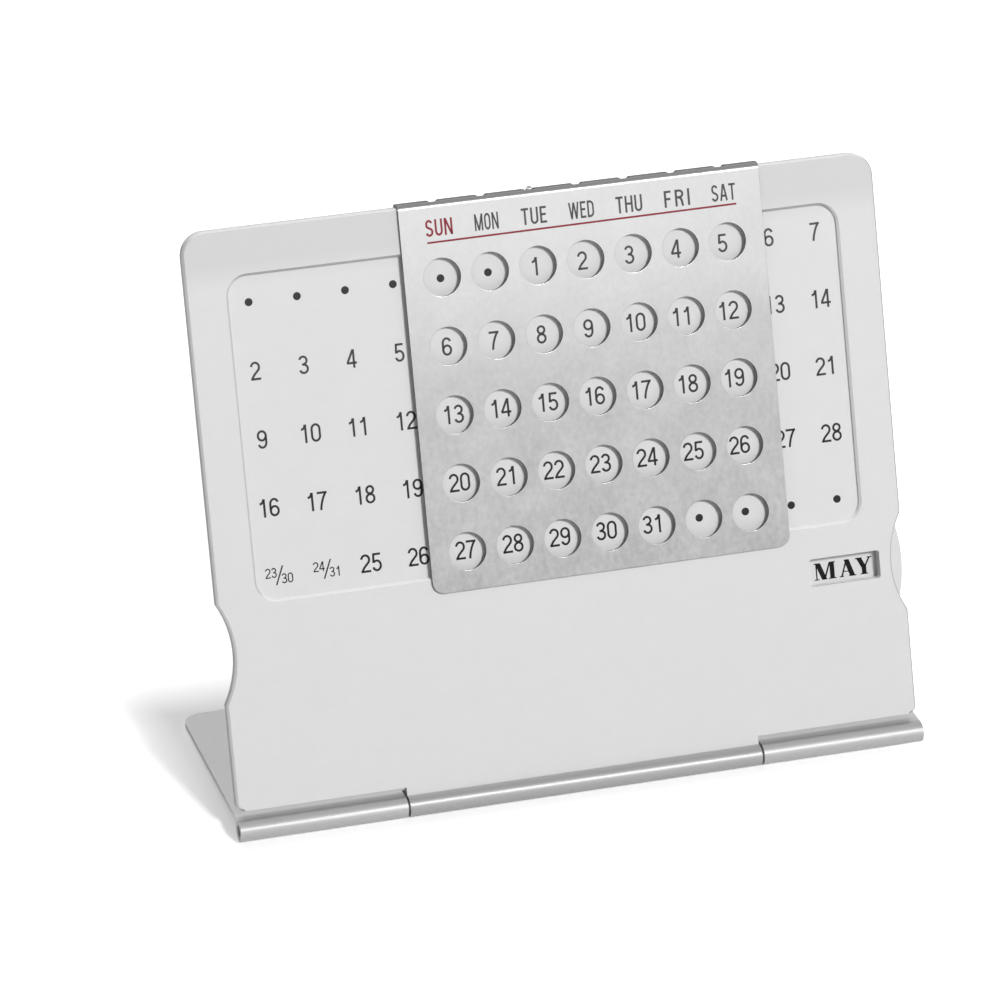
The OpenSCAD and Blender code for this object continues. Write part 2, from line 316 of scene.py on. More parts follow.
@dataclass
class NarrowSans(Face):
    """A narrow drawing-office face of even strokes, for the dates and weekday names."""

    stroke: float = 0.12
    side: float = 0.035

    def draw(self) -> dict[str, tuple[float, list[Outline]]]:
        """Draws the characters from their stroke paths.

        Returns:
            The characters' widths and outlines, by name.
        """
        return {
            name: (width, [quad for path in paths for quad in even(path, self.stroke)])
            for name, (width, paths) in (self._digits() | self._letters()).items()
        }

    def _oval(self, width: float, ry: float) -> Outline:
        """Draws a narrow oval.

        Args:
            width: Width over the stroke.
            ry: Height over the stroke of each round end.

        Returns:
            The oval's path.
        """
        h = self.stroke / 2
        cx, rx = width / 2, width / 2 - h
        top = arc(cx, 1 - ry, rx, ry - h, 0, 180, 16)
        bottom = arc(cx, ry, rx, ry - h, 180, 360, 16)
        return top + bottom + [(width - h, 1 - ry), (width - h, 1.01 - ry)]

    def _digits(self) -> dict[str, tuple[float, list[Outline]]]:
        """Lays out the digits, which all have one width.

        Returns:
            The digits' widths and stroke paths, by name.
        """
        h = self.stroke / 2
        w = 0.55
        cx, rx = w / 2, w / 2 - h
        two = curve((0.475, 0.60), (0.40, 0.44), (0.10, 0.28), (0.075, 0.02), 10)
        six = [
            arc(cx, 0.305, rx, 0.305 - h, 0, 360, 32),
            arc(cx, 0.66, rx, 0.34 - h, 22, 180, 16) + [(h, 0.31)],
        ]
        paths = {
            "0": [self._oval(w, 0.31)],
            "1": [
                [(0.34, 0.0), (0.34, 1.0)],
                curve((0.10, 0.745), (0.21, 0.75), (0.29, 0.80), (0.32, 0.99), 8),
            ],
            "2": [arc(cx, 0.70, rx, 0.30 - h, 172, -18, 18) + two, [(0.01, h), (w, h)]],
            "3": [
                arc(cx - 0.01, 0.735, rx - 0.02, 0.265 - h, 165, -80, 20),
                arc(cx, 0.285, rx, 0.285 - h, 88, -165, 22),
                [(0.19, 0.515), (0.29, 0.515)],
            ],
            "4": [
                [(0.39, 0.0), (0.39, 1.0)],
                [(0.37, 0.985), (0.03, 0.275)],
                [(0.0, 0.265), (0.55, 0.265)],
            ],
            "5": [
                [(0.09, 1 - h), (0.50, 1 - h)],
                [(0.125, 0.99), (0.095, 0.47)],
                arc(cx, 0.32, rx, 0.32 - h, 138, -162, 24),
            ],
            "6": six,
            "7": [
                [(0.0, 1 - h), (w, 1 - h)],
                curve((w - 0.05, 0.97), (0.30, 0.66), (0.20, 0.34), (0.17, 0.0), 10),
            ],
            "8": [
                arc(cx, 0.745, rx - 0.03, 0.255 - h, 0, 360, 28),
                arc(cx, 0.285, rx, 0.285 - h, 0, 360, 30),
            ],
            "9": [[(w - x, 1 - y) for x, y in path] for path in six],
        }
        return {name: (w, strokes) for name, strokes in paths.items()}

    def _letters(self) -> dict[str, tuple[float, list[Outline]]]:
        """Lays out the letters of the weekday names.

        Returns:
            The letters' widths and stroke paths, by name.
        """
        h = self.stroke / 2
        w = 0.52
        cx, rx = w / 2, w / 2 - h
        stem = [(h, 0.0), (h, 1.0)]
        bowl = (
            [(h, 1 - h)]
            + arc(0.22, 0.70, 0.25, 0.30 - h, 90, 0, 8)
            + arc(0.22, 0.30, 0.25, 0.30 - h, 0, -90, 8)
            + [(h, h)]
        )
        ear = [(h, 1 - h)] + arc(0.27, 0.735, 0.20, 0.265 - h, 90, -90, 12) + [(h, 0.47 + h)]
        leg = curve((0.24, 0.50), (0.44, 0.50), (0.40, 0.20), (0.475, 0.0), 10)
        snake = (
            arc(cx, 0.745, rx - 0.02, 0.255 - h, 15, 200, 14)
            + curve((0.09, 0.63), (0.16, 0.47), (0.44, 0.50), (0.455, 0.30), 8)
            + arc(cx, 0.27, rx, 0.27 - h, 0, -165, 16)
        )

        def upright(x: float) -> Outline:
            """Returns an upright whose middle is at x."""
            return [(x, 0.0), (x, 1.0)]

        def level(y: float, end: float) -> Outline:
            """Returns a level stroke from the stem to end."""
            return [(h, y), (end, y)]

        return {
            "A": (
                0.58,
                [
                    [(h, 0.0), (0.27, 1.0)],
                    [(0.31, 1.0), (0.58 - h, 0.0)],
                    [(0.13, 0.30), (0.45, 0.30)],
                ],
            ),
            "D": (0.53, [stem, bowl]),
            "E": (0.45, [stem, level(1 - h, 0.44), level(0.52, 0.40), level(h, 0.45)]),
            "F": (0.43, [stem, level(1 - h, 0.43), level(0.50, 0.39)]),
            "H": (0.53, [stem, upright(0.53 - h), level(0.52, 0.53 - h)]),
            "I": (2 * h, [stem]),
            "M": (
                0.70,
                [
                    stem,
                    [(h, 0.99), (0.35, 0.03)],
                    [(0.35, 0.03), (0.70 - h, 0.99)],
                    upright(0.70 - h),
                ],
            ),
            "N": (0.55, [stem, [(h + 0.01, 0.98), (0.54 - h, 0.02)], upright(0.55 - h)]),
            "O": (w, [self._oval(w, 0.32)]),
            "R": (0.53, [stem, ear, leg]),
            "S": (w, [snake]),
            "T": (0.50, [upright(0.25), [(0.0, 1 - h), (0.50, 1 - h)]]),
            "U": (w, [[(h, 1.0)] + arc(cx, 0.29, rx, 0.29 - h, 180, 360, 18) + [(w - h, 1.0)]]),
            "W": (
                0.82,
                [
                    [(0.05, 1.0), (0.22, 0.0)],
                    [(0.22, 0.03), (0.41, 0.98)],
                    [(0.41, 0.98), (0.60, 0.03)],
                    [(0.60, 0.0), (0.77, 1.0)],
                ],
            ),
        }


@dataclass
class BoldSerif(Face):
    """A bold face with thick and thin strokes and flat serifs, for the months."""

    thick: float = 0.275
    thin: float = 0.08
    serif: float = 0.06
    reach: float = 0.085
    kerns: dict[str, float] = field(default_factory=lambda: {"MA": 0.1, "AY": -0.11})

    def _bar(self, x0: float, y0: float, x1: float, y1: float, width: float) -> Outline:
        """Returns a slanted bar whose width is measured level."""
        h = width / 2
        return [(x0 - h, y0), (x0 + h, y0), (x1 + h, y1), (x1 - h, y1)]

    def _foot(self, x: float, half: float) -> Outline:
        """Returns a flat serif round x that stands on the line."""
        return box(x - half, x + half, 0.0, self.serif)

    def _head(self, x: float, half: float) -> Outline:
        """Returns a flat serif round x that hangs from the top line."""
        return box(x - half, x + half, 1 - self.serif, 1.0)

    def _stem(self, x: float, width: float) -> list[Outline]:
        """Returns an upright with a serif at each end."""
        half = width / 2 + self.reach
        return [self._bar(x, 0.0, x, 1.0, width), self._foot(x, half), self._head(x, half)]

    def _bowl(
        self, cx: float, cy: float, rx: float, ry: float, angles: tuple[float, float], thick: float
    ) -> list[Outline]:
        """Draws part of a ring that is thick at its sides and thin at its top and bottom.

        Args:
            cx: Centre across.
            cy: Centre up.
            rx: Outer radius across.
            ry: Outer radius up.
            angles: First and last angle in degrees.
            thick: Width of the ring at its sides.

        Returns:
            The ring's outlines.
        """
        steps = 24
        outer = arc(cx, cy, rx, ry, *angles, steps)
        inner = arc(cx, cy, rx - thick, ry - self.thin, *angles, steps)
        return [[outer[i], outer[i + 1], inner[i + 1], inner[i]] for i in range(steps)]

    def _wedge(self, x: float, y: float, size: float, down: float) -> Outline:
        """Returns the pointed end of a thin arm."""
        return [(x, y), (x, y + down * size), (x - 0.03, y + down * size), (x - 0.11, y)]

    def _arms(self, x: float, width: float) -> list[Outline]:
        """Draws the top arm and middle arm of E and F.

        Args:
            x: Where the arms start.
            width: Where the top arm ends.

        Returns:
            The arms' outlines.
        """
        return [
            box(x, width, 1 - self.serif, 1.0),
            self._wedge(width, 1.0, 0.26, -1),
            box(x, width - 0.2, 0.485, 0.535),
            box(width - 0.21, width - 0.17, 0.36, 0.66),
        ]

    def draw(self) -> dict[str, tuple[float, list[Outline]]]:
        """Draws the letters of the month names.

        Returns:
            The letters' widths and outlines, by name.
        """
        t, n, r = self.thick, self.thin, self.reach
        left = r + t / 2
        stem = self._stem(left, t)
        right, open_right, full = (-90, 90), (48, 318), (0, 360)
        foot_arm = [box(left, 0.86, 0.0, self.serif), self._wedge(0.86, 0.0, 0.3, 1)]
        beak = box(0.84, 0.89, 0.66, 1.0)

        def rungs(end: float, *heights: float) -> list[Outline]:
            """Returns thin level strokes from the stem to end, whose lower edges are given."""
            deep = {0.0: n, 1 - n: n}
            return [box(left, end, y, y + deep.get(y, 0.05)) for y in heights]

        return {
            "A": (
                1.02,
                [
                    self._bar(0.13, 0.0, 0.475, 1.0, n * 1.25),
                    self._bar(0.80, 0.0, 0.47, 1.0, t * 1.12),
                    [(0.22, 0.28), (0.70, 0.28), (0.68, 0.335), (0.24, 0.335)],
                    self._foot(0.13, 0.13),
                    self._foot(0.80, 0.22),
                ],
            ),
            "B": (
                0.90,
                stem
                + self._bowl(0.44, 0.745, 0.36, 0.255, right, t * 0.95)
                + self._bowl(0.46, 0.27, 0.42, 0.27, right, t)
                + rungs(0.45, 1 - n, 0.49)
                + rungs(0.46, 0.0),
            ),
            "C": (0.98, self._bowl(0.52, 0.5, 0.50, 0.515, open_right, t) + [beak]),
            "D": (
                1.04,
                stem + self._bowl(0.44, 0.5, 0.56, 0.5, right, t) + rungs(0.45, 1 - n, 0.0),
            ),
            "E": (0.92, stem + self._arms(left, 0.84) + foot_arm),
            "F": (0.88, stem + self._arms(left, 0.84)),
            "G": (
                1.08,
                self._bowl(0.52, 0.5, 0.50, 0.515, (48, 330), t)
                + [
                    beak,
                    self._bar(0.84, 0.08, 0.84, 0.46, t),
                    box(0.63, 1.05, 0.42, 0.42 + self.serif),
                ],
            ),
            "J": (
                0.70,
                [self._bar(0.44, 0.24, 0.44, 1.0, t), self._head(0.44, t / 2 + r)]
                + ribbon(
                    arc(0.26, 0.20, 0.235, 0.24, 8, -150, 16),
                    [t - (t - n) * i / 16 for i in range(17)],
                )
                + [disc(0.12, 0.12, 0.10, 16)],
            ),
            "L": (0.92, stem + foot_arm),
            "M": (
                1.36,
                [
                    self._bar(0.17, 0.0, 0.17, 1.0, n),
                    self._foot(0.17, 0.15),
                    [(0.03, 1.0), (0.03, 1 - self.serif), (0.17, 0.93), (0.37, 1.0)],
                    self._bar(0.26, 1.0, 0.64, 0.0, t * 1.15),
                    self._bar(0.64, 0.0, 1.01, 1.0, n * 1.3),
                    self._bar(1.13, 0.0, 1.13, 1.0, t),
                    self._foot(1.13, t / 2 + r + 0.01),
                    [(1.0, 1.0), (1.0, 0.93), (1.33, 1 - self.serif), (1.33, 1.0)],
                ],
            ),
            "N": (
                1.04,
                [
                    self._bar(0.16, 0.0, 0.16, 1.0, n),
                    self._foot(0.16, 0.13),
                    [(0.02, 1.0), (0.02, 1 - self.serif), (0.2, 0.93), (0.36, 1.0)],
                    self._bar(0.25, 1.0, 0.80, 0.0, t * 1.2),
                    self._bar(0.87, 0.0, 0.87, 1.0, n),
                    self._head(0.87, 0.13),
                ],
            ),
            "O": (1.10, self._bowl(0.55, 0.5, 0.51, 0.515, full, t)),
            "P": (
                0.90,
                stem + self._bowl(0.45, 0.72, 0.40, 0.28, right, t) + rungs(0.46, 1 - n, 0.44),
            ),
            "R": (
                1.02,
                stem
                + self._bowl(0.45, 0.745, 0.39, 0.255, right, t)
                + rungs(0.46, 1 - n, 0.49)
                + [self._bar(0.86, 0.0, 0.50, 0.53, t * 1.1), self._foot(0.87, 0.15)],
            ),
            "S": (
                0.78,
                ribbon(
                    arc(0.37, 0.755, 0.245, 0.215, 30, 200, 14)
                    + curve((0.15, 0.66), (0.28, 0.52), (0.58, 0.50), (0.60, 0.28), 8)
                    + arc(0.37, 0.245, 0.245, 0.215, -12, -160, 14),
                    [n + (t * 1.15 - n) * math.sin(math.pi * i / 38) ** 2 for i in range(39)],
                )
                + [box(0.60, 0.64, 0.70, 1.0), box(0.08, 0.12, 0.0, 0.32)],
            ),
            "T": (
                0.92,
                [
                    self._bar(0.46, 0.0, 0.46, 1.0, t),
                    self._foot(0.46, t / 2 + r),
                    box(0.04, 0.88, 1 - self.serif, 1.0),
                    self._wedge(0.88, 1.0, 0.28, -1),
                    [(0.04, 1.0), (0.04, 0.72), (0.07, 0.72), (0.15, 1.0)],
                ],
            ),
            "U": (
                1.04,
                [
                    self._bar(left, 0.34, left, 1.0, t),
                    self._head(left, t / 2 + r),
                    self._bar(0.87, 0.34, 0.87, 1.0, n),
                    self._head(0.87, 0.13),
                ]
                + ribbon(
                    arc(0.53, 0.34, 0.335, 0.31, 180, 360, 20),
                    [t - (t - n) * (i / 20) ** 0.7 for i in range(21)],
                ),
            ),
            "V": (
                1.02,
                [
                    self._bar(0.22, 1.0, 0.54, 0.0, t * 1.12),
                    self._bar(0.88, 1.0, 0.56, 0.0, n * 1.25),
                    self._head(0.22, 0.22),
                    self._head(0.88, 0.13),
                ],
            ),
            "Y": (
                1.02,
                [
                    self._bar(0.21, 1.0, 0.50, 0.42, t * 1.12),
                    self._bar(0.88, 1.0, 0.56, 0.44, n * 1.3),
                    self._bar(0.51, 0.0, 0.51, 0.50, t),
                    self._foot(0.51, t / 2 + r + 0.01),
                    self._head(0.21, 0.21),
                    self._head(0.87, 0.14),
                ],
            ),
        }


@dataclass
class Print:
    """Ink on a flat face: collects outlines, then makes one thin raised mesh of them."""

    name: str
    thickness: float = 0.02
    outlines: list[list[Vector]] = field(default_factory=list)

    def add(self, outline: Outline, place: Matrix) -> None:
        """Adds one flat outline.

        Args:
            outline: Points in mm, in the print's own plane.
            place: Matrix from that plane to the row frame, in metres.
        """
        self.outlines.append([place @ Vector((x * MM, y * MM, 0.0)) for x, y in outline])

    def text(
        self,
        words: str,
        face: Face,
        height: float,
        place: Matrix,
        tracking: float = 0.0,
        fit: float | None = None,
    ) -> None:
        """Sets a line of text centred on the place's origin.

        Args:
            words: Characters to set.
            face: Typeface to take them from.
            height: Cap height in mm.
            place: Matrix from the text's plane to the row frame.
            tracking: Extra space between characters, on a cap height of 1.
            fit: Width in mm that the line is squeezed or spread to.
        """
        glyphs = [face.glyphs[c] for c in words]
        shifts = [face.kerns.get(words[i : i + 2], 0.0) for i in range(len(words))]
        width = sum(g.advance for g in glyphs) + tracking * (len(glyphs) - 1) + sum(shifts)
        across = height
        if fit is not None:
            spare = fit / height - (width - 2 * face.side)
            if spare > 0:
                tracking += spare / (len(glyphs) - 1)
                width += spare
            across = fit / (width - 2 * face.side)
        x = face.side - width / 2
        for glyph, shift in zip(glyphs, shifts):
            for outline in glyph.outlines:
                self.add([((x + px) * across, (py - 0.5) * height) for px, py in outline], place)
            x += glyph.advance + tracking + shift

    def build(self, body: str, finish: bpy.types.Material, slot: str) -> bpy.types.Object:
        """Makes the ink's mesh and lets it ride on a body.

        Args:
            body: CAD body that carries the ink.
            finish: Material of the ink.
            slot: Name of a material slot; not used.

        Returns:
            The new object.
        """
        normal = PLATE.out()
        rise = normal * self.thickness * MM
        points, faces = [], []
        for outline in self.outlines:
            base, n = len(points), len(outline)
            turn = sum(
                (outline[i] - outline[0]).cross(outline[(i + 1) % n] - outline[0]).dot(normal)
                for i in range(n)
            )
            lower = outline if turn > 0 else outline[::-1]
            points += lower + [p + rise for p in lower]
            faces.append([base + i for i in reversed(range(n))])
            faces.append([base + n + i for i in range(n)])
            for i in range(n):
                k = (i + 1) % n
                faces.append([base + i, base + k, base + n + k, base + n + i])
        obj = add_mesh(self.name, points, faces, finish)
        obj.data.validate()
        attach(obj, body)
        return obj


# ---------------------------------------------------------------------------------------------
# Shader node groups
# ---------------------------------------------------------------------------------------------


class Nodes:
    """A node tree under construction, with short helpers for its nodes."""

    def __init__(self, tree: bpy.types.NodeTree) -> None:
        """Keeps the tree."""
        self.tree = tree

    def feed(self, value: object, target: Socket) -> None:
        """Joins a socket to the target, or sets the target's value.

        Args:
            value: Socket or value.
            target: Input that takes it.
        """
        if isinstance(value, Socket):
            self.tree.links.new(value, target)
        else:
            target.default_value = value

    def node(
        self, kind: str, inputs: dict[str | int, object] | None = None, **settings: object
    ) -> bpy.types.Node:
        """Adds a node.

        Args:
            kind: Blender's node type, without "ShaderNode".
            inputs: Values or sockets for the node's inputs, by name or number.
            **settings: Properties of the node.

        Returns:
            The node.
        """
        made = self.tree.nodes.new(f"ShaderNode{kind}")
        for key, value in settings.items():
            setattr(made, key, value)
        for key, value in (inputs or {}).items():
            self.feed(value, made.inputs[key])
        return made

    def math(self, operation: str, a: object, b: object = 0.0, clamp: bool = False) -> Socket:
        """Adds a Math node.

        Args:
            operation: Blender's name of the operation.
            a: First value or socket.
            b: Second value or socket.
            clamp: Whether the result is kept from 0 to 1.

        Returns:
            The result's socket.
        """
        return self.node("Math", {0: a, 1: b}, operation=operation, use_clamp=clamp).outputs[0]

    def vector(self, operation: str, a: object, b: object = (0.0, 0.0, 0.0)) -> Socket:
        """Adds a Vector Math node.

        Args:
            operation: Blender's name of the operation.
            a: First vector or socket.
            b: Second vector or socket.

        Returns:
            The result's socket, which is a number for a dot product or a length.
        """
        made = self.node("VectorMath", {0: a, 1: b}, operation=operation)
        return made.outputs["Value" if operation in ("DOT_PRODUCT", "LENGTH") else "Vector"]

    def coordinate(self, name: str) -> Socket:
        """Returns a texture coordinate's socket."""
        return self.node("TexCoord").outputs[name]

    def noise(self, place: Socket, scale: object, **inputs: float) -> Socket:
        """Adds a Noise Texture node.

        Args:
            place: Where the texture is read.
            scale: Scale as a number or socket.
            **inputs: Values of its other inputs, by name.

        Returns:
            The noise's socket, from 0 to 1.
        """
        made = self.node("TexNoise", {"Vector": place, "Scale": scale, **inputs})
        return made.outputs["Fac"]

    def rounded_normal(self, radius: float, samples: int) -> Socket:
        """Returns the normal that the surface would have with its edges rounded."""
        return self.node("Bevel", {"Radius": radius}, samples=samples).outputs["Normal"]

    def spread(
        self,
        value: Socket,
        low: object = 0.0,
        high: object = 1.0,
        span: tuple[object, object] = (0.0, 1.0),
        smooth: bool = False,
    ) -> Socket:
        """Maps a span of values to two levels.

        Args:
            value: What is mapped.
            low: Result at the span's start and before, as a number or socket.
            high: Result at the span's end and after, as a number or socket.
            span: Start and end of the span, as numbers or sockets.
            smooth: Whether the result eases in and out.

        Returns:
            The result's socket.
        """
        inputs = {"Value": value, "To Min": low, "To Max": high}
        inputs |= {"From Min": span[0], "From Max": span[1]}
        kind = "SMOOTHSTEP" if smooth else "LINEAR"
        return self.node("MapRange", inputs, interpolation_type=kind).outputs[0]


class SocketKind(Enum):
    """Kinds of node group sockets."""

    VALUE = "NodeSocketFloat"
    VECTOR = "NodeSocketVector"


class EffectGroup(Nodes):
    """A shader node group under construction."""

    def __init__(self, name: str, inputs: dict[str, object], outputs: list[str]) -> None:
        """Makes the tree with its sockets.

        Args:
            name: Name of the group.
            inputs: Values of its inputs, by name.
            outputs: Names of its outputs, which are all values.
        """
        super().__init__(bpy.data.node_groups.new(name, "ShaderNodeTree"))
        sockets = self.tree.interface
        for label, value in inputs.items():
            kind = SocketKind.VECTOR if isinstance(value, tuple) else SocketKind.VALUE
            made = sockets.new_socket(label, in_out="INPUT", socket_type=kind.value)
            made.default_value = value
        for label in outputs:
            sockets.new_socket(label, in_out="OUTPUT", socket_type=SocketKind.VALUE.value)
        self.given = self.tree.nodes.new("NodeGroupInput").outputs
        self.results = self.tree.nodes.new("NodeGroupOutput").inputs


def build_blasted_grain() -> bpy.types.NodeTree:
    """Builds the fine, even grain of blasted and anodised metal.

    Returns:
        The node group, with a Tone and a Height output.
    """
    pit_scale, cloud_scale, cloud_share = 2400.0, 420.0, 0.7
    inputs = {"Scale": 1.0, "Stretch": (1.0, 1.0, 1.0)}
    g = EffectGroup("blasted_grain", inputs, ["Tone", "Height"])
    place = g.vector("MULTIPLY", g.coordinate("Object"), g.given["Stretch"])
    fine = g.math("MULTIPLY", g.given["Scale"], pit_scale)
    pits = g.noise(place, fine, Detail=3.0, Roughness=0.6)
    broad = g.math("MULTIPLY", g.given["Scale"], cloud_scale)
    clouds = g.noise(place, broad, Detail=2.0)
    share = g.math("MULTIPLY", g.math("SUBTRACT", clouds, 0.5), cloud_share)
    both = g.math("ADD", g.math("SUBTRACT", pits, 0.5), share)
    g.feed(g.math("ADD", both, 0.5, True), g.results["Tone"])
    g.feed(pits, g.results["Height"])
    return g.tree


def build_handled_haze() -> bpy.types.NodeTree:
    """Builds the broad, faint haze that handling leaves on metal.

    Returns:
        The node group, with a Haze output from 0 to 1.
    """
    smear_scale, bare, full = 28.0, 0.35, 0.68
    g = EffectGroup("handled_haze", {"Amount": 1.0}, ["Haze"])
    smear = g.noise(g.coordinate("Object"), smear_scale, Detail=4.0, Distortion=0.6)
    shown = g.spread(smear, span=(bare, full))
    g.feed(g.math("MULTIPLY", shown, g.given["Amount"], True), g.results["Haze"])
    return g.tree


def build_edge_polish() -> bpy.types.NodeTree:
    """Builds the mask of edges that fingers have polished.

    Returns:
        The node group, with a Mask output from 0 on flats to 1 on edges.
    """
    reach, samples = 0.12 * MM, 4
    g = EffectGroup("edge_polish", {"Gain": 6.0}, ["Mask"])
    rounded = g.rounded_normal(reach, samples)
    flat = g.node("NewGeometry").outputs["Normal"]
    lost = g.math("SUBTRACT", 1.0, g.vector("DOT_PRODUCT", rounded, flat))
    g.feed(g.math("MULTIPLY", lost, g.given["Gain"], True), g.results["Mask"])
    return g.tree


def build_height_mask() -> bpy.types.NodeTree:
    """Builds a mask that rises with the height up the leaning plate.

    Returns:
        The node group. Its Mask is 0 below Low and 1 above High, which are in mm.
    """
    swell_scale = 34.0
    g = EffectGroup("height_mask", {"Low": 0.0, "High": 1.0, "Drift": 0.0}, ["Mask"])
    place = g.coordinate("Object")
    offset = g.vector("SUBTRACT", place, PLATE.origin * MM)
    height = g.vector("DOT_PRODUCT", offset, PLATE.up() / MM)
    swell = g.math("SUBTRACT", g.noise(place, swell_scale, Detail=2.0), 0.5)
    drifted = g.math("ADD", height, g.math("MULTIPLY", swell, g.given["Drift"]))
    g.feed(g.spread(drifted, span=(g.given["Low"], g.given["High"])), g.results["Mask"])
    return g.tree


def build_barrel_mask() -> bpy.types.NodeTree:
    """Builds a mask of what lies within a radius of the hinge axis.

    Returns:
        The node group. Its Mask is 1 inside Radius, which is in mm, and 0 outside.
    """
    sharpness = 10.0
    g = EffectGroup("barrel_mask", {"Radius": 2.3}, ["Mask"])
    offset = g.vector("SUBTRACT", g.coordinate("Object"), PLATE.origin * MM)
    reach = g.vector("LENGTH", g.vector("MULTIPLY", offset, (0.0, 1.0 / MM, 1.0 / MM)))
    inside = g.math("MULTIPLY", g.math("SUBTRACT", g.given["Radius"], reach), sharpness)
    g.feed(g.math("ADD", inside, 0.5, True), g.results["Mask"])
    return g.tree


def build_wall_mask() -> bpy.types.NodeTree:
    """Builds a mask of the surfaces that stand square to the leaning plate's face, which are
    painted in shade.

    Returns:
        The node group. Its Mask is 1 on the cut sides, which get painted shade, and 0 on the
        sheet's two faces.
    """
    sharpness = 6.0
    g = EffectGroup("wall_shade_mask", {"Width": 0.35}, ["Mask"])
    facing = g.math("ABSOLUTE", g.vector("DOT_PRODUCT", g.coordinate("Normal"), PLATE.out()))
    square = g.math("MULTIPLY", g.math("SUBTRACT", g.given["Width"], facing), sharpness)
    g.feed(g.math("ADD", square, 0.5, True), g.results["Mask"])
    return g.tree


def build_rim_mask() -> bpy.types.NodeTree:
    """Builds masks of the edges that face up and down the leaning plate and to its right, for a
    painted highlight and painted shade.

    Returns:
        The node group, with a mask for each way.
    """
    sharpness = 5.0
    ways = {"Up": PLATE.up(), "DownShade": -PLATE.up(), "Right": PLATE.across()}
    g = EffectGroup("rim_light_mask", {"Start": 0.45}, list(ways))
    normal = g.coordinate("Normal")
    start = g.math("MULTIPLY", g.given["Start"], sharpness)
    for name, way in ways.items():
        facing = g.math("MULTIPLY", g.vector("DOT_PRODUCT", normal, way), sharpness)
        g.feed(g.math("SUBTRACT", facing, start, True), g.results[name])
    return g.tree


@dataclass
class Effects:
    """The shader node groups that the finishes share."""

    grain: bpy.types.NodeTree = field(default_factory=build_blasted_grain)
    haze: bpy.types.NodeTree = field(default_factory=build_handled_haze)
    edges: bpy.types.NodeTree = field(default_factory=build_edge_polish)
    height: bpy.types.NodeTree = field(default_factory=build_height_mask)
    barrel: bpy.types.NodeTree = field(default_factory=build_barrel_mask)
    walls: bpy.types.NodeTree = field(default_factory=build_wall_mask)
    rims: bpy.types.NodeTree = field(default_factory=build_rim_mask)


# ---------------------------------------------------------------------------------------------
# Finishes
# ---------------------------------------------------------------------------------------------


def grey(level: float) -> Colour:
    """Makes a neutral colour.

    Args:
        level: Its shown level, from 0 to 255.

    Returns:
        The colour, in linear light.
    """
    s = level / 255
    linear = s / 12.92 if s <= 0.04045 else ((s + 0.055) / 1.055) ** 2.4
    return (linear, linear, linear, 1.0)


class ShaderSheet(Nodes):
    """A material under construction, with its grain."""

    def __init__(
        self,
        name: str,
        effects: Effects,
        grain_scale: float,
        grain_stretch: tuple[float, float, float] = (1.0, 1.0, 1.0),
    ) -> None:
        """Makes the material with its Principled shader and its grain.

        Args:
            name: Name of the material.
            effects: The shared node groups.
            grain_scale: How fine the grain is.
            grain_stretch: How much finer it is along each axis.
        """
        self.material = bpy.data.materials.new(name)
        self.material.use_nodes = True
        super().__init__(self.material.node_tree)
        self.effects = effects
        self.shader = self.tree.nodes["Principled BSDF"].inputs
        grain = self.group(effects.grain, Scale=grain_scale, Stretch=grain_stretch)
        self.grain, self.relief = grain["Tone"], grain["Height"]

    def group(self, group: bpy.types.NodeTree, **values: object) -> bpy.types.NodeOutputs:
        """Places a node group.

        Args:
            group: The node group.
            **values: Values of its inputs, by name.

        Returns:
            The placed group's outputs.
        """
        placed = self.tree.nodes.new("ShaderNodeGroup")
        placed.node_tree = group
        for key, value in values.items():
            placed.inputs[key].default_value = value
        return placed.outputs

    def mix(self, factor: Socket, a: object, b: object) -> Socket:
        """Mixes two colours.

        Args:
            factor: Socket that says how much of the second colour there is.
            a: First colour or socket.
            b: Second colour or socket.

        Returns:
            The mixed colour's socket.
        """
        first, second, mixed = 6, 7, 2  # the colour sockets of a Mix node
        inputs = {0: factor, first: a, second: b}
        return self.node("Mix", inputs, data_type="RGBA").outputs[mixed]

    def bump(self, strength: float, depth: float, rounding: float = 0.0) -> None:
        """Adds the grain's relief and soft edges to the shader.

        Args:
            strength: Share of the relief that shows.
            depth: Depth of the relief in mm.
            rounding: Radius in mm to which the light sees the edges rounded.
        """
        samples = 8
        inputs = {"Strength": strength, "Distance": depth * MM, "Height": self.relief}
        if rounding > 0:
            inputs["Normal"] = self.rounded_normal(rounding * MM, samples)
        self.feed(self.node("Bump", inputs).outputs[0], self.shader["Normal"])


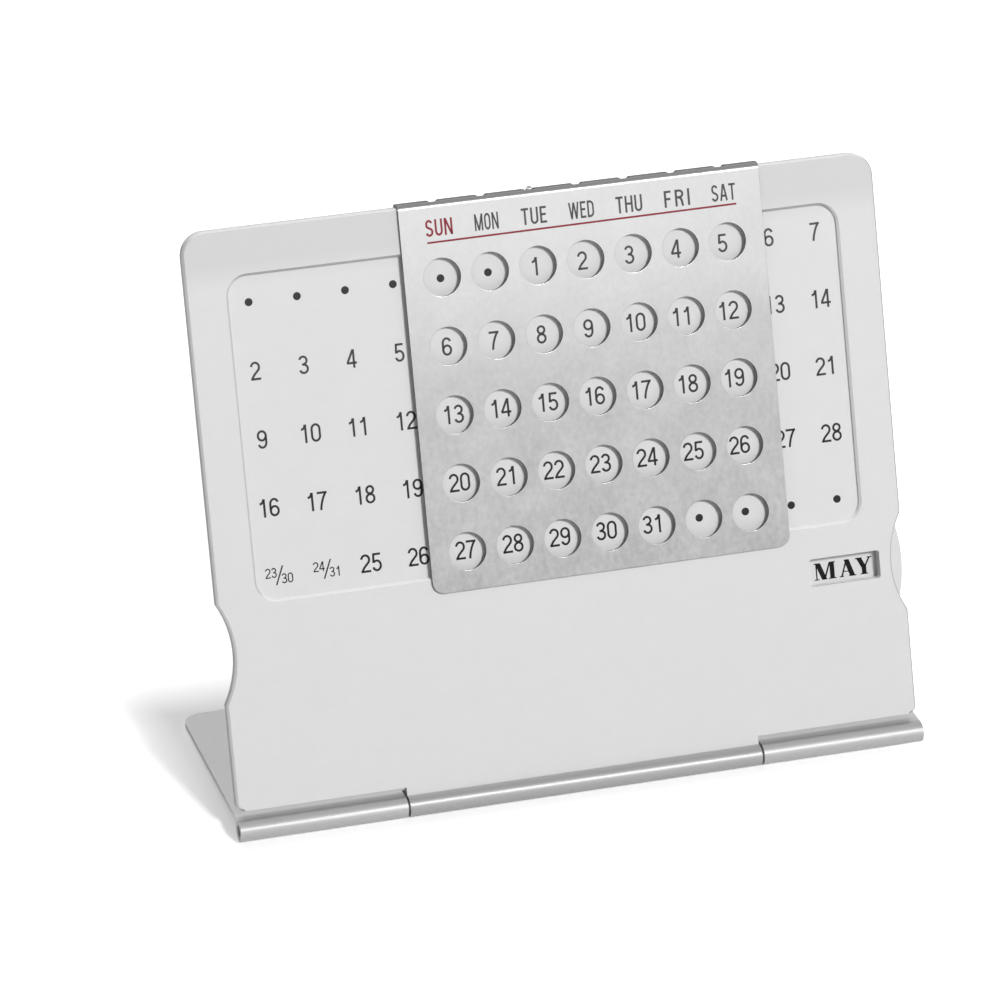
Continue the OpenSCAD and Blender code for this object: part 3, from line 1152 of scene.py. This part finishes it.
@dataclass(frozen=True)
class SatinFinish:
    """A satin metal surface. Each kind gives its own colour over the surface."""

    name: str
    roughness: float = 0.36
    roughness_spread: float = 0.06
    metallic: float = 1.0
    grain_scale: float = 1.0
    grain_stretch: tuple[float, float, float] = (1.0, 1.0, 1.0)
    relief: float = 0.04
    relief_depth: float = 0.05
    haze: float = 0.5
    edge_level: float = 245.0
    edge_gain: float = 3.0
    rounding: float = 0.0

    def material(self, effects: Effects) -> bpy.types.Material:
        """Builds the finish.

        Args:
            effects: The shared node groups.

        Returns:
            The material.
        """
        sheet = ShaderSheet(self.name, effects, self.grain_scale, self.grain_stretch)
        haze = sheet.group(effects.haze, Amount=self.haze)["Haze"]
        edges = sheet.group(effects.edges, Gain=self.edge_gain)["Mask"]
        worn = sheet.mix(edges, self.tone(sheet, haze), grey(self.edge_level))
        sheet.feed(worn, sheet.shader["Base Color"])
        self.gloss(sheet, haze)
        sheet.bump(self.relief, self.relief_depth, self.rounding)
        return sheet.material

    def tone(self, sheet: ShaderSheet, haze: Socket) -> Socket:
        """Builds the colour over the surface.

        Args:
            sheet: Material under construction.
            haze: Handling haze, from 0 to 1.

        Returns:
            The colour's socket.
        """
        raise NotImplementedError

    def satin(self, sheet: ShaderSheet, haze: Socket) -> Socket:
        """Returns the roughness, which is a little higher where the metal is hazy."""
        return sheet.spread(haze, self.roughness, self.roughness + self.roughness_spread)

    def gloss(self, sheet: ShaderSheet, haze: Socket) -> None:
        """Sets how metallic and how rough the surface is.

        Args:
            sheet: Material under construction.
            haze: Handling haze, from 0 to 1.
        """
        sheet.shader["Metallic"].default_value = self.metallic
        sheet.feed(self.satin(sheet, haze), sheet.shader["Roughness"])


@dataclass(frozen=True)
class MetalFinish(SatinFinish):
    """An even satin metal: anodised aluminium or plain steel."""

    level: float = 228.0
    contrast: float = 5.0

    def tone(self, sheet: ShaderSheet, haze: Socket) -> Socket:
        """Builds the grain's light and dark, which the haze dulls.

        Args:
            sheet: Material under construction.
            haze: Handling haze, from 0 to 1.

        Returns:
            The colour's socket.
        """
        shades = [grey(self.level + share * self.contrast) for share in (-1, 1, -2, 0.4)]
        clear = sheet.mix(sheet.grain, shades[0], shades[1])
        dull = sheet.mix(sheet.grain, shades[2], shades[3])
        return sheet.mix(haze, clear, dull)


@dataclass(frozen=True)
class HingedFinish(MetalFinish):
    """A satin metal with a more polished hinge barrel, whose colour is painted darker as shade."""

    barrel_radius: float = 2.34
    barrel_level: float = 192.0
    barrel_metallic: float = 0.72
    barrel_roughness: float = 0.4

    def face(self, sheet: ShaderSheet, haze: Socket) -> Socket:
        """Builds the colour away from the barrel."""
        return super().tone(sheet, haze)

    def barrel(self, sheet: ShaderSheet) -> Socket:
        """Returns the mask of the barrel."""
        return sheet.group(sheet.effects.barrel, Radius=self.barrel_radius)["Mask"]

    def tone(self, sheet: ShaderSheet, haze: Socket) -> Socket:
        """Builds the colour over the surface.

        Args:
            sheet: Material under construction.
            haze: Handling haze, from 0 to 1.

        Returns:
            The colour's socket.
        """
        # Painted shade: the barrel's colour is darker, standing in for the dim reflections it
        # shows. Its metallic and roughness are its own polish.
        return sheet.mix(self.barrel(sheet), self.face(sheet, haze), grey(self.barrel_level))

    def gloss(self, sheet: ShaderSheet, haze: Socket) -> None:
        """Sets how metallic and how rough the surface is.

        Args:
            sheet: Material under construction.
            haze: Handling haze, from 0 to 1.
        """
        barrel = self.barrel(sheet)
        metallic = sheet.spread(barrel, self.metallic, self.barrel_metallic)
        rough = sheet.spread(barrel, self.satin(sheet, haze), self.barrel_roughness)
        sheet.feed(metallic, sheet.shader["Metallic"])
        sheet.feed(rough, sheet.shader["Roughness"])


@dataclass(frozen=True)
class PlateFinish(HingedFinish):
    """The plate's pearl anodising, with painted shade on its cut sides, its right- and down-facing
    edges and the strip over the dates, and a painted highlight on its up-facing edges.
    """

    wall_width: float = 0.3
    wall_level: float = 203.0
    upper_rim_level: float = 253.0
    lower_rim_level: float = 184.0
    right_rim_level: float = 203.0
    top_heights: tuple[float, float] = (112.8, 118.2)
    top_level: float = 217.0

    def face(self, sheet: ShaderSheet, haze: Socket) -> Socket:
        """Builds the colour away from the barrel, with painted shade and painted highlights on its
        cut sides and edges.

        Args:
            sheet: Material under construction.
            haze: Handling haze, from 0 to 1.

        Returns:
            The colour's socket.
        """
        effects = sheet.effects
        # Painted shade: the plate is painted darker from the strip over the dates upwards, where
        # the light falls off.
        low, high = self.top_heights
        top = sheet.group(effects.height, Low=low, High=high)["Mask"]
        # Painted shade: the cut sides are painted darker, as if turned away from the light.
        walls = sheet.group(effects.walls, Width=self.wall_width)["Mask"]
        # Painted light: edges facing up the plate get a painted highlight, and edges facing down or
        # to the right get painted shade.
        rims = sheet.group(effects.rims)
        shade = super().face(sheet, haze)
        for mask, level in (
            (top, self.top_level),
            (walls, self.wall_level),
            (rims["Right"], self.right_rim_level),
            (rims["Up"], self.upper_rim_level),
            (rims["DownShade"], self.lower_rim_level),
        ):
            shade = sheet.mix(mask, shade, grey(level))
        return shade


@dataclass(frozen=True)
class SheetFinish(SatinFinish):
    """The window's brushed sheet, with a painted reflection that darkens towards its lower edge,
    and its top fold painted dark as a dim reflection.
    """

    heights: tuple[float, float] = (44.0, 126.0)
    levels: tuple[tuple[float, float], ...] = (
        (0.0, 219.0),
        (0.18, 225.0),
        (0.36, 221.0),
        (0.53, 224.0),
        (0.70, 235.0),
        (0.86, 239.0),
        (0.97, 236.0),
    )
    drift: float = 16.0
    grain_depth: float = 40.0
    grain_reach: float = 1.15
    bend: tuple[float, float] = (124.65, 125.3)
    bend_level: float = 188.0
    wall_level: float = 74.0

    def tone(self, sheet: ShaderSheet, haze: Socket) -> Socket:
        """Builds the colour over the surface.

        Args:
            sheet: Material under construction.
            haze: Handling haze, from 0 to 1.

        Returns:
            The colour's socket.
        """
        effects = sheet.effects
        low, high = self.heights
        # Painted reflection: the greys change up the sheet the way its mirrored surroundings do.
        height = sheet.group(effects.height, Low=low, High=high, Drift=self.drift)["Mask"]
        dark = self._ramp(sheet, height, -self.grain_depth)
        face = sheet.mix(sheet.grain, dark, self._ramp(sheet, height, 0.0))
        # Painted reflection: the top fold is painted dark, standing in for the dim surroundings it
        # mirrors.
        bend = sheet.group(effects.height, Low=self.bend[0], High=self.bend[1])["Mask"]
        with_fold_reflection = sheet.mix(bend, face, grey(self.bend_level))
        # Painted shade: the sheet's cut sides are painted nearly black, standing in for the shadow
        # in the gap under the sheet.
        return sheet.mix(sheet.group(effects.walls)["Mask"], with_fold_reflection, grey(self.wall_level))

    def _ramp(self, sheet: ShaderSheet, height: Socket, shift: float) -> Socket:
        """Builds the ramp of greys up the sheet, which is a painted reflection.

        Args:
            sheet: Material under construction.
            height: Height up the sheet, from 0 to 1.
            shift: What is added to the lowest level, fading out towards the top.

        Returns:
            The colour's socket.
        """
        node = sheet.node("ValToRGB", {0: height})
        node.color_ramp.interpolation = "B_SPLINE"
        stops = node.color_ramp.elements
        while len(stops) < len(self.levels):
            stops.new(0.5)
        for stop, (place, level) in zip(stops, self.levels):
            stop.position = place
            stop.color = grey(level + shift * (self.grain_reach - place))
        return node.outputs[0]


@dataclass(frozen=True)
class InkFinish:
    """Printed ink, slightly uneven in cover and more worn towards the top of the plate."""

    name: str
    colour: Colour
    thin: Colour
    worn: Colour
    worn_heights: tuple[float, float] = (60.0, 125.0)
    roughness: float = 0.55
    gloss: float = 0.3
    grain_scale: float = 4.0
    relief: float = 0.05
    relief_depth: float = 0.02

    def material(self, effects: Effects) -> bpy.types.Material:
        """Builds the finish.

        Args:
            effects: The shared node groups.

        Returns:
            The material.
        """
        sheet = ShaderSheet(self.name, effects, self.grain_scale)
        sheet.shader["Roughness"].default_value = self.roughness
        sheet.shader["Specular IOR Level"].default_value = self.gloss
        cover = sheet.mix(sheet.grain, self.thin, self.colour)
        low, high = self.worn_heights
        height = sheet.group(effects.height, Low=low, High=high)["Mask"]
        sheet.feed(sheet.mix(height, cover, self.worn), sheet.shader["Base Color"])
        sheet.bump(self.relief, self.relief_depth)
        return sheet.material


@dataclass(frozen=True)
class CoatFinish:
    """A smooth coat or moulded surface that isn't bare metal."""

    name: str
    colour: Colour
    dark: Colour
    roughness: float = 0.5
    roughness_spread: float = 0.08
    grain_scale: float = 0.8
    relief: float = 0.03
    relief_depth: float = 0.03

    def material(self, effects: Effects) -> bpy.types.Material:
        """Builds the finish.

        Args:
            effects: The shared node groups.

        Returns:
            The material.
        """
        sheet = ShaderSheet(self.name, effects, self.grain_scale)
        haze = sheet.group(effects.haze)["Haze"]
        rough = sheet.spread(haze, self.roughness, self.roughness + self.roughness_spread)
        sheet.feed(sheet.mix(sheet.grain, self.dark, self.colour), sheet.shader["Base Color"])
        sheet.feed(rough, sheet.shader["Roughness"])
        sheet.bump(self.relief, self.relief_depth)
        return sheet.material


# ---------------------------------------------------------------------------------------------
# Sub-assemblies
# ---------------------------------------------------------------------------------------------


class EdgeKind(Enum):
    """How finely a piece's edges are broken, in mm."""

    CRISP = 0.03
    BROKEN = 0.07
    SOFT = 0.12
    ROUNDED = 0.15


@dataclass
class MetalPiece:
    """A carried-over solid with fine broken edges and a finish. Lengths in mm."""

    node: str
    edge: EdgeKind
    finish: bpy.types.Material
    weld: float = 0.002
    segments: int = 2
    sharp_angle: float = 30.0

    def dress(self) -> bpy.types.Object:
        """Breaks the edges and puts the finish on.

        Returns:
            The node's object.
        """
        obj = dress_node(self.node, self.finish)
        weld = obj.modifiers.new("weld", "WELD")
        weld.merge_threshold = self.weld * MM
        bevel = obj.modifiers.new("edge", "BEVEL")
        bevel.width = self.edge.value * MM
        bevel.segments = self.segments
        bevel.limit_method = "ANGLE"
        bevel.angle_limit = math.radians(self.sharp_angle)
        bevel.harden_normals = False
        bevel.use_clamp_overlap = True
        shade = obj.modifiers.new("even", "WEIGHTED_NORMAL")
        shade.keep_sharp = False
        return obj


@dataclass
class FootAssembly:
    """The foot plate with its knuckles and the hinge pin."""

    finish: bpy.types.Material
    pin_finish: bpy.types.Material

    def build(self) -> list[bpy.types.Object]:
        """Dresses the foot plate and its pin.

        Returns:
            The two nodes' objects.
        """
        return [
            MetalPiece("foot_plate", EdgeKind.SOFT, self.finish).dress(),
            MetalPiece("hinge_pin", EdgeKind.BROKEN, self.pin_finish).dress(),
        ]


@dataclass
class DatePlate:
    """The leaning plate with the dates printed in its recess. Lengths in mm."""

    finish: bpy.types.Material
    ink: bpy.types.Material
    dot_ink: bpy.types.Material
    face: Face
    digit_height: float = 3.88
    dot_radius: float = 0.84
    dot_sides: int = 28
    rows: int = 5
    columns: int = 13
    middle_row: int = 2
    middle_column: int = 6
    last_day: int = 31
    paired_days: tuple[int, ...] = (23, 24)
    pair_height: float = 2.1
    pair_shift: float = 0.7
    pair_places: tuple[Point, Point] = ((-1.62, 0.66), (1.78, -0.74))
    pair_stroke: tuple[Point, Point] = ((-0.66, -2.0), (0.98, 2.0))
    pair_stroke_width: float = 0.3

    def build(self) -> list[bpy.types.Object]:
        """Dresses the plate and prints its dates."""
        plate = MetalPiece("calendar_plate", EdgeKind.BROKEN, self.finish).dress()
        return [plate, *self.print_dates()]

    def print_dates(self) -> list[bpy.types.Object]:
        """Prints one number, pair or dot at each place of the grid.

        The first day stands in the middle column of the top row.

        Returns:
            The printed dates and the printed dots.
        """
        ink, dots = Print("printed_dates"), Print("printed_dots")
        for row in range(self.rows):
            for column in range(self.columns):
                u = LAYOUT.date_u + (column - self.middle_column) * LAYOUT.date_du
                v = LAYOUT.date_v + (self.middle_row - row) * LAYOUT.date_dv
                place = PLATE.print_plane(u, v, LAYOUT.recess_w)
                day = row * DAYS_IN_WEEK + column - self.middle_column + 1
                if row == self.rows - 1 and day in self.paired_days:
                    self._print_pair(ink, day, place)
                elif 1 <= day <= self.last_day:
                    ink.text(str(day), self.face, self.digit_height, place)
                else:
                    dots.add(disc(0.0, 0.0, self.dot_radius, self.dot_sides), place)
        return [
            ink.build("plate", self.ink, "dark_ink"),
            dots.build("plate", self.dot_ink, "dark_ink"),
        ]

    def _print_pair(self, ink: Print, day: int, place: Matrix) -> None:
        """Prints two dates a week apart that share a place, with a stroke between them.

        Args:
            ink: Print that takes them.
            day: The earlier date.
            place: Matrix of the place.
        """
        place = place @ Matrix.Translation((self.pair_shift * MM, 0.0, 0.0))
        for date, (x, y) in zip((day, day + DAYS_IN_WEEK), self.pair_places):
            corner = place @ Matrix.Translation((x * MM, y * MM, 0.0))
            ink.text(str(date), self.face, self.pair_height, corner)
        for quad in even(list(self.pair_stroke), self.pair_stroke_width):
            ink.add(quad, place)


@dataclass
class SlidingWindow:
    """The sheet window with the weekday names over its columns of holes. Lengths in mm."""

    finish: bpy.types.Material
    ink: bpy.types.Material
    red_ink: bpy.types.Material
    face: Face
    name_height: float = 3.52
    name_tracking: float = 0.05
    name_v: float = 120.45
    rule_v: float = 117.6
    rule_shift: float = 0.2
    rule_turn: float = 0.29
    rule_half: float = 33.75
    rule_width: float = 0.4
    names: tuple[tuple[str, float, float], ...] = (
        ("SUN", 5.85, 0.42),
        ("MON", 5.15, 0.3),
        ("TUE", 5.5, 0.2),
        ("WED", 5.45, 0.12),
        ("THU", 5.75, 0.15),
        ("FRI", 5.6, 0.28),
        ("SAT", 5.3, 0.12),
    )

    def build(self) -> list[bpy.types.Object]:
        """Dresses the sheet and prints the header.

        Each name has its own width and its own shift from the middle of its column.

        Returns:
            The sheet and its two prints.
        """
        sheet = MetalPiece("sliding_window", EdgeKind.ROUNDED, self.finish).dress()
        red, dark = Print("sunday_and_rule"), Print("weekday_names")
        middle = len(self.names) // 2
        for i, (name, width, shift) in enumerate(self.names):
            u = LAYOUT.window_u + (i - middle) * LAYOUT.hole_du + shift
            place = PLATE.print_plane(u, self.name_v, LAYOUT.window_w)
            ink = red if i == 0 else dark
            ink.text(name, self.face, self.name_height, place, self.name_tracking, width)
        u = LAYOUT.window_u + self.rule_shift
        place = PLATE.print_plane(u, self.rule_v, LAYOUT.window_w, self.rule_turn)
        half, thin = self.rule_half, self.rule_width / 2
        red.add(box(-half, half, -thin, thin), place)
        return [
            sheet,
            red.build("window", self.red_ink, "red_ink"),
            dark.build("window", self.ink, "dark_ink"),
        ]


@dataclass
class MonthWheel:
    """The month wheel with its twelve names, and the stack that holds it. Lengths in mm."""

    finish: bpy.types.Material
    ink: bpy.types.Material
    stud_finish: bpy.types.Material
    washer_finish: bpy.types.Material
    spacer_finish: bpy.types.Material
    face: Face
    letter_height: float = 3.68
    letter_drop: float = 0.38
    letter_tracking: float = 0.1
    text_radius: float = 17.0
    months: tuple[str, ...] = tuple("JAN FEB MAR APR MAY JUN JUL AUG SEP OCT NOV DEC".split())
    shown: int = 4

    def build(self) -> list[bpy.types.Object]:
        """Dresses the wheel and its stack, and prints the months.

        Returns:
            The nodes' objects and the print.
        """
        pieces = [
            MetalPiece("month_wheel", EdgeKind.CRISP, self.finish),
            MetalPiece("wheel_stud", EdgeKind.BROKEN, self.stud_finish),
            MetalPiece("retaining_cap", EdgeKind.BROKEN, self.stud_finish),
            MetalPiece("wave_washer", EdgeKind.CRISP, self.washer_finish),
            MetalPiece("wheel_spacer", EdgeKind.CRISP, self.spacer_finish),
        ]
        return [*(piece.dress() for piece in pieces), self.print_months()]

    def print_months(self) -> bpy.types.Object:
        """Prints the month names like spokes, reading outwards.

        Returns:
            The printed object.
        """
        ink = Print("month_names")
        step = 360.0 / len(self.months)
        for i, name in enumerate(self.months):
            turn = (self.shown - i) * step
            a = math.radians(turn)
            u = LAYOUT.wheel_u + self.text_radius * math.cos(a)
            v = LAYOUT.wheel_v + self.text_radius * math.sin(a)
            place = PLATE.print_plane(u, v, LAYOUT.wheel_w, turn)
            place = place @ Matrix.Translation((0.0, -self.letter_drop * MM, 0.0))
            ink.text(name, self.face, self.letter_height, place, self.letter_tracking)
        return ink.build("wheel", self.ink, "dark_ink")


@dataclass
class ClickPin:
    """The sprung pin that clicks into the notches, with its coil spring. Lengths in mm."""

    finish: bpy.types.Material
    spring_finish: bpy.types.Material
    floor_v: float = 116.75
    middle_w: float = -1.2
    spring_height: float = 4.1
    travel: float = 1.5
    slack: float = 0.01
    coil_radius: float = 0.61
    wire_radius: float = 0.12
    turns: int = 8
    steps: int = 20
    sides: int = 8

    def build(self) -> list[bpy.types.Object]:
        """Dresses the pin and makes its spring."""
        return [dress_node("click_pin", self.finish), self.coil()]

    def coil(self) -> bpy.types.Object:
        """Makes the coil spring.

        Returns:
            The spring, in place of the solid one.
        """
        rings = self.turns * self.steps
        rise = self.spring_height - 2 * self.wire_radius
        points = []
        for i in range(rings + 1):
            a = math.tau * i / self.steps
            v = self.floor_v + self.wire_radius + rise * i / rings
            for j in range(self.sides):
                b = math.tau * j / self.sides
                reach = self.coil_radius + self.wire_radius * math.cos(b)
                height = v + self.wire_radius * math.sin(b)
                w = self.middle_w - reach * math.sin(a)
                points.append(PLATE.point(reach * math.cos(a), height, w))
        first = list(reversed(range(self.sides)))
        last = [rings * self.sides + j for j in range(self.sides)]
        faces = [first, last]
        for i in range(rings):
            for j in range(self.sides):
                low, k = i * self.sides, (j + 1) % self.sides
                faces.append([low + j, low + k, low + self.sides + k, low + self.sides + j])
        spring = add_mesh("coil_spring", points, faces, self.spring_finish)
        spring.data.shade_smooth()
        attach(spring, "plate")
        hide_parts("click_spring")
        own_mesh(spring)
        return spring


# ---------------------------------------------------------------------------------------------
# Studio
# ---------------------------------------------------------------------------------------------


@dataclass(frozen=True)
class Viewpoint:
    """The camera's place, in mm from the middle of the hinge axis, and its angles in degrees."""

    place: Vector = Vector((-331.17, -1009.116, 674.005))
    yaw: float = 17.134
    pitch: float = 29.701
    roll: float = -1.0006
    lens: float = 215.0
    sensor: float = 36.0
    reach: tuple[float, float] = (50.0, 20000.0)

    def build(self) -> None:
        """Makes the camera and gives it to the scene."""
        yaw, pitch, roll = (math.radians(a) for a in (self.yaw, self.pitch, self.roll))
        level = math.cos(pitch)
        ahead = Vector((math.sin(yaw) * level, math.cos(yaw) * level, -math.sin(pitch)))
        right = Vector((math.cos(yaw), -math.sin(yaw), 0.0))
        down = ahead.cross(right)
        across = right * math.cos(roll) + down * math.sin(roll)
        below = down * math.cos(roll) - right * math.sin(roll)
        turn = Matrix((across, -below, -ahead)).transposed()
        data = bpy.data.cameras.new("camera")
        data.lens = self.lens
        data.sensor_width = self.sensor
        data.clip_start, data.clip_end = (distance * MM for distance in self.reach)
        camera = bpy.data.objects.new("camera", data)
        place = Matrix.Translation((PLATE.origin + self.place) * MM)
        camera.matrix_world = place @ turn.to_4x4()
        bpy.context.scene.collection.objects.link(camera)
        bpy.context.scene.camera = camera


@dataclass(frozen=True)
class Softbox:
    """One soft rectangular lamp, aimed at the calendar. Lengths in metres."""

    name: str
    place: tuple[float, float, float]
    size: tuple[float, float]
    level: float
    aim: tuple[float, float, float] = (0.0, 0.0, 0.04)
    mirrored: bool = True

    def build(self) -> None:
        """Makes the lamp."""
        data = bpy.data.lights.new(self.name, "AREA")
        data.shape = "RECTANGLE"
        data.size, data.size_y = self.size
        data.energy = self.level * math.pi * self.size[0] * self.size[1]
        lamp = bpy.data.objects.new(self.name, data)
        lamp.location = self.place
        lamp.visible_glossy = self.mirrored
        way = Vector(self.aim) - Vector(self.place)
        lamp.rotation_euler = way.to_track_quat("-Z", "Y").to_euler()
        bpy.context.scene.collection.objects.link(lamp)


@dataclass
class Studio:
    """A pale floor, a soft surround and the lamps. Lengths in metres.

    The surround has one strength as light and another in mirrors, which fades towards its top.
    The floor's glow is low within glow_half of glow_middle, so that the object's shadow shows; this
    also paints a dim shade round the object.
    """

    floor_size: float = 8.0
    floor_colour: Colour = (0.85, 0.85, 0.85, 1.0)
    floor_roughness: float = 0.8
    floor_mirrored: float = 0.15
    glow_near: float = 0.35
    glow_far: float = 0.85
    glow_reach: float = 0.016
    glow_middle: tuple[float, float, float] = (-0.005, 0.001, 0.0)
    glow_half: tuple[float, float, float] = (0.072, 0.027, 1.0)
    surround: float = 0.048
    mirrored_sides: float = 0.8
    mirrored_top: float = 0.48
    fading: tuple[float, float] = (0.55, 0.85)
    lamps: tuple[Softbox, ...] = (
        Softbox("key_softbox", (0.73, -2.04, 1.80), (0.4, 0.4), 28.5),
        Softbox("flagged_softbox", (0.73, -2.06, 1.82), (0.4, 0.4), 86.5, mirrored=False),
        Softbox("top_softbox", (-0.15, -0.1, 1.3), (1.0, 1.0), 0.5, mirrored=False),
        Softbox("rear_softbox", (-0.55, 1.45, 1.15), (1.0, 1.0), 3.0, mirrored=False),
    )

    def build(self) -> None:
        """Builds the surround, the floor and the lamps."""
        self._surround()
        self._floor()
        for lamp in self.lamps:
            lamp.build()
        bpy.context.scene.view_settings.view_transform = "Standard"

    def _surround(self) -> None:
        """Sets the world: white where it is seen, and a soft surround as light and in mirrors."""
        world = bpy.data.worlds.new("surround")
        bpy.context.scene.world = world
        world.use_nodes = True
        world.node_tree.nodes.clear()
        nodes = Nodes(world.node_tree)
        rays = nodes.node("LightPath").outputs
        parts = nodes.node("SeparateXYZ", {0: nodes.coordinate("Generated")}).outputs
        mirrored = nodes.spread(
            parts["Z"], self.mirrored_sides, self.mirrored_top, self.fading, smooth=True
        )
        lit, glossy, white = (
            nodes.node("Background", {"Color": WHITE, "Strength": strength}).outputs[0]
            for strength in (self.surround, mirrored, 1.0)
        )
        unseen = nodes.node("MixShader", {0: rays["Is Glossy Ray"], 1: lit, 2: glossy})
        seen = nodes.math("MAXIMUM", rays["Is Camera Ray"], rays["Is Transmission Ray"])
        shown = nodes.node("MixShader", {0: seen, 1: unseen.outputs[0], 2: white})
        nodes.node("OutputWorld", {0: shown.outputs[0]})

    def _glow(self, nodes: Nodes) -> Socket:
        """Grades the floor's glow, which is low near the object so that its shadow shows, and which
        paints a dim shade there too.

        Args:
            nodes: The floor material's nodes.

        Returns:
            The level's socket.
        """
        offset = nodes.vector("SUBTRACT", nodes.coordinate("Object"), self.glow_middle)
        past = nodes.vector("SUBTRACT", nodes.vector("ABSOLUTE", offset), self.glow_half)
        reach = nodes.vector("LENGTH", nodes.vector("MAXIMUM", past))
        # Painted shade: near the object the floor glows less, so it is darker there even where no
        # shadow falls.
        return nodes.spread(reach, self.glow_near, self.glow_far, (0.0, self.glow_reach))

    def _floor(self) -> None:
        """Makes the floor, whose glow is seen and faintly mirrored but lights nothing."""
        finish = bpy.data.materials.new("pale_floor")
        finish.use_nodes = True
        nodes = Nodes(finish.node_tree)
        shader = nodes.tree.nodes["Principled BSDF"]
        shader.inputs["Roughness"].default_value = self.floor_roughness
        shader.inputs["Specular IOR Level"].default_value = 0.0
        shader.inputs["Base Color"].default_value = self.floor_colour
        rays = nodes.node("LightPath").outputs
        direct = nodes.math("MAXIMUM", rays["Is Camera Ray"], rays["Is Transmission Ray"])
        mirrored = nodes.math("MULTIPLY", rays["Is Glossy Ray"], self.floor_mirrored)
        seen = nodes.math("MAXIMUM", direct, mirrored)
        level = nodes.math("MULTIPLY", seen, self._glow(nodes))
        glow = nodes.node("Emission", {"Strength": level}).outputs[0]
        both = nodes.node("AddShader", {0: shader.outputs[0], 1: glow}).outputs[0]
        nodes.feed(both, nodes.tree.nodes["Material Output"].inputs["Surface"])
        half = self.floor_size / 2
        corners = [Vector((x, y, 0.0)) for x, y in box(-half, half, -half, half)]
        add_mesh("floor", corners, [[0, 1, 2, 3]], finish)


def main() -> None:
    """Builds every sub-assembly and reports its pieces."""
    logging.basicConfig(level=logging.INFO, format="%(name)s: %(message)s")
    effects = Effects()
    plate_metal = PlateFinish(
        "plate_aluminium",
        level=228.0,
        contrast=2.0,
        metallic=0.12,
        roughness=0.42,
        grain_scale=0.6,
        edge_gain=8.0,
    ).material(effects)
    window_metal = SheetFinish(
        "window_aluminium",
        roughness=0.3,
        grain_scale=0.38,
        grain_stretch=(1.0, 0.8, 0.8),
        haze=0.3,
        rounding=0.2,
    ).material(effects)
    foot_metal = HingedFinish(
        "foot_aluminium",
        level=228.0,
        contrast=3.0,
        metallic=0.74,
        roughness=0.44,
        barrel_level=206.0,
        barrel_roughness=0.44,
    ).material(effects)
    wheel_metal = MetalFinish(
        "wheel_aluminium",
        level=226.0,
        contrast=2.0,
        metallic=0.2,
        roughness=0.4,
        grain_scale=0.6,
    ).material(effects)
    steel = MetalFinish("turned_steel", level=185.0, roughness=0.25).material(effects)
    bright = MetalFinish("bright_steel", level=235.0, roughness=0.08, haze=0.2).material(effects)
    spacer_white = CoatFinish("spacer_nylon", grey(222), grey(214)).material(effects)
    dark_ink = InkFinish("dark_ink", grey(34), grey(46), grey(93)).material(effects)
    dot_ink = InkFinish("dot_ink", grey(34), grey(46), grey(58)).material(effects)
    black_ink = InkFinish("black_ink", grey(22), grey(28), grey(28), gloss=0.15).material(effects)
    red_ink = InkFinish(
        "red_ink",
        colour=(0.27, 0.016, 0.032, 1.0),
        thin=(0.31, 0.035, 0.05, 1.0),
        worn=(0.29, 0.045, 0.06, 1.0),
    ).material(effects)
    sans, heavy_sans = NarrowSans(), NarrowSans(stroke=0.134)
    for assembly in (
        FootAssembly(foot_metal, steel),
        DatePlate(plate_metal, dark_ink, dot_ink, sans),
        SlidingWindow(window_metal, dark_ink, red_ink, heavy_sans),
        ClickPin(bright, steel),
        MonthWheel(wheel_metal, black_ink, steel, steel, spacer_white, BoldSerif()),
    ):
        for piece in assembly.build():
            LOG.info("built %s", piece.name)
    Viewpoint().build()
    Studio().build()


if __name__ == "__main__":
    main()
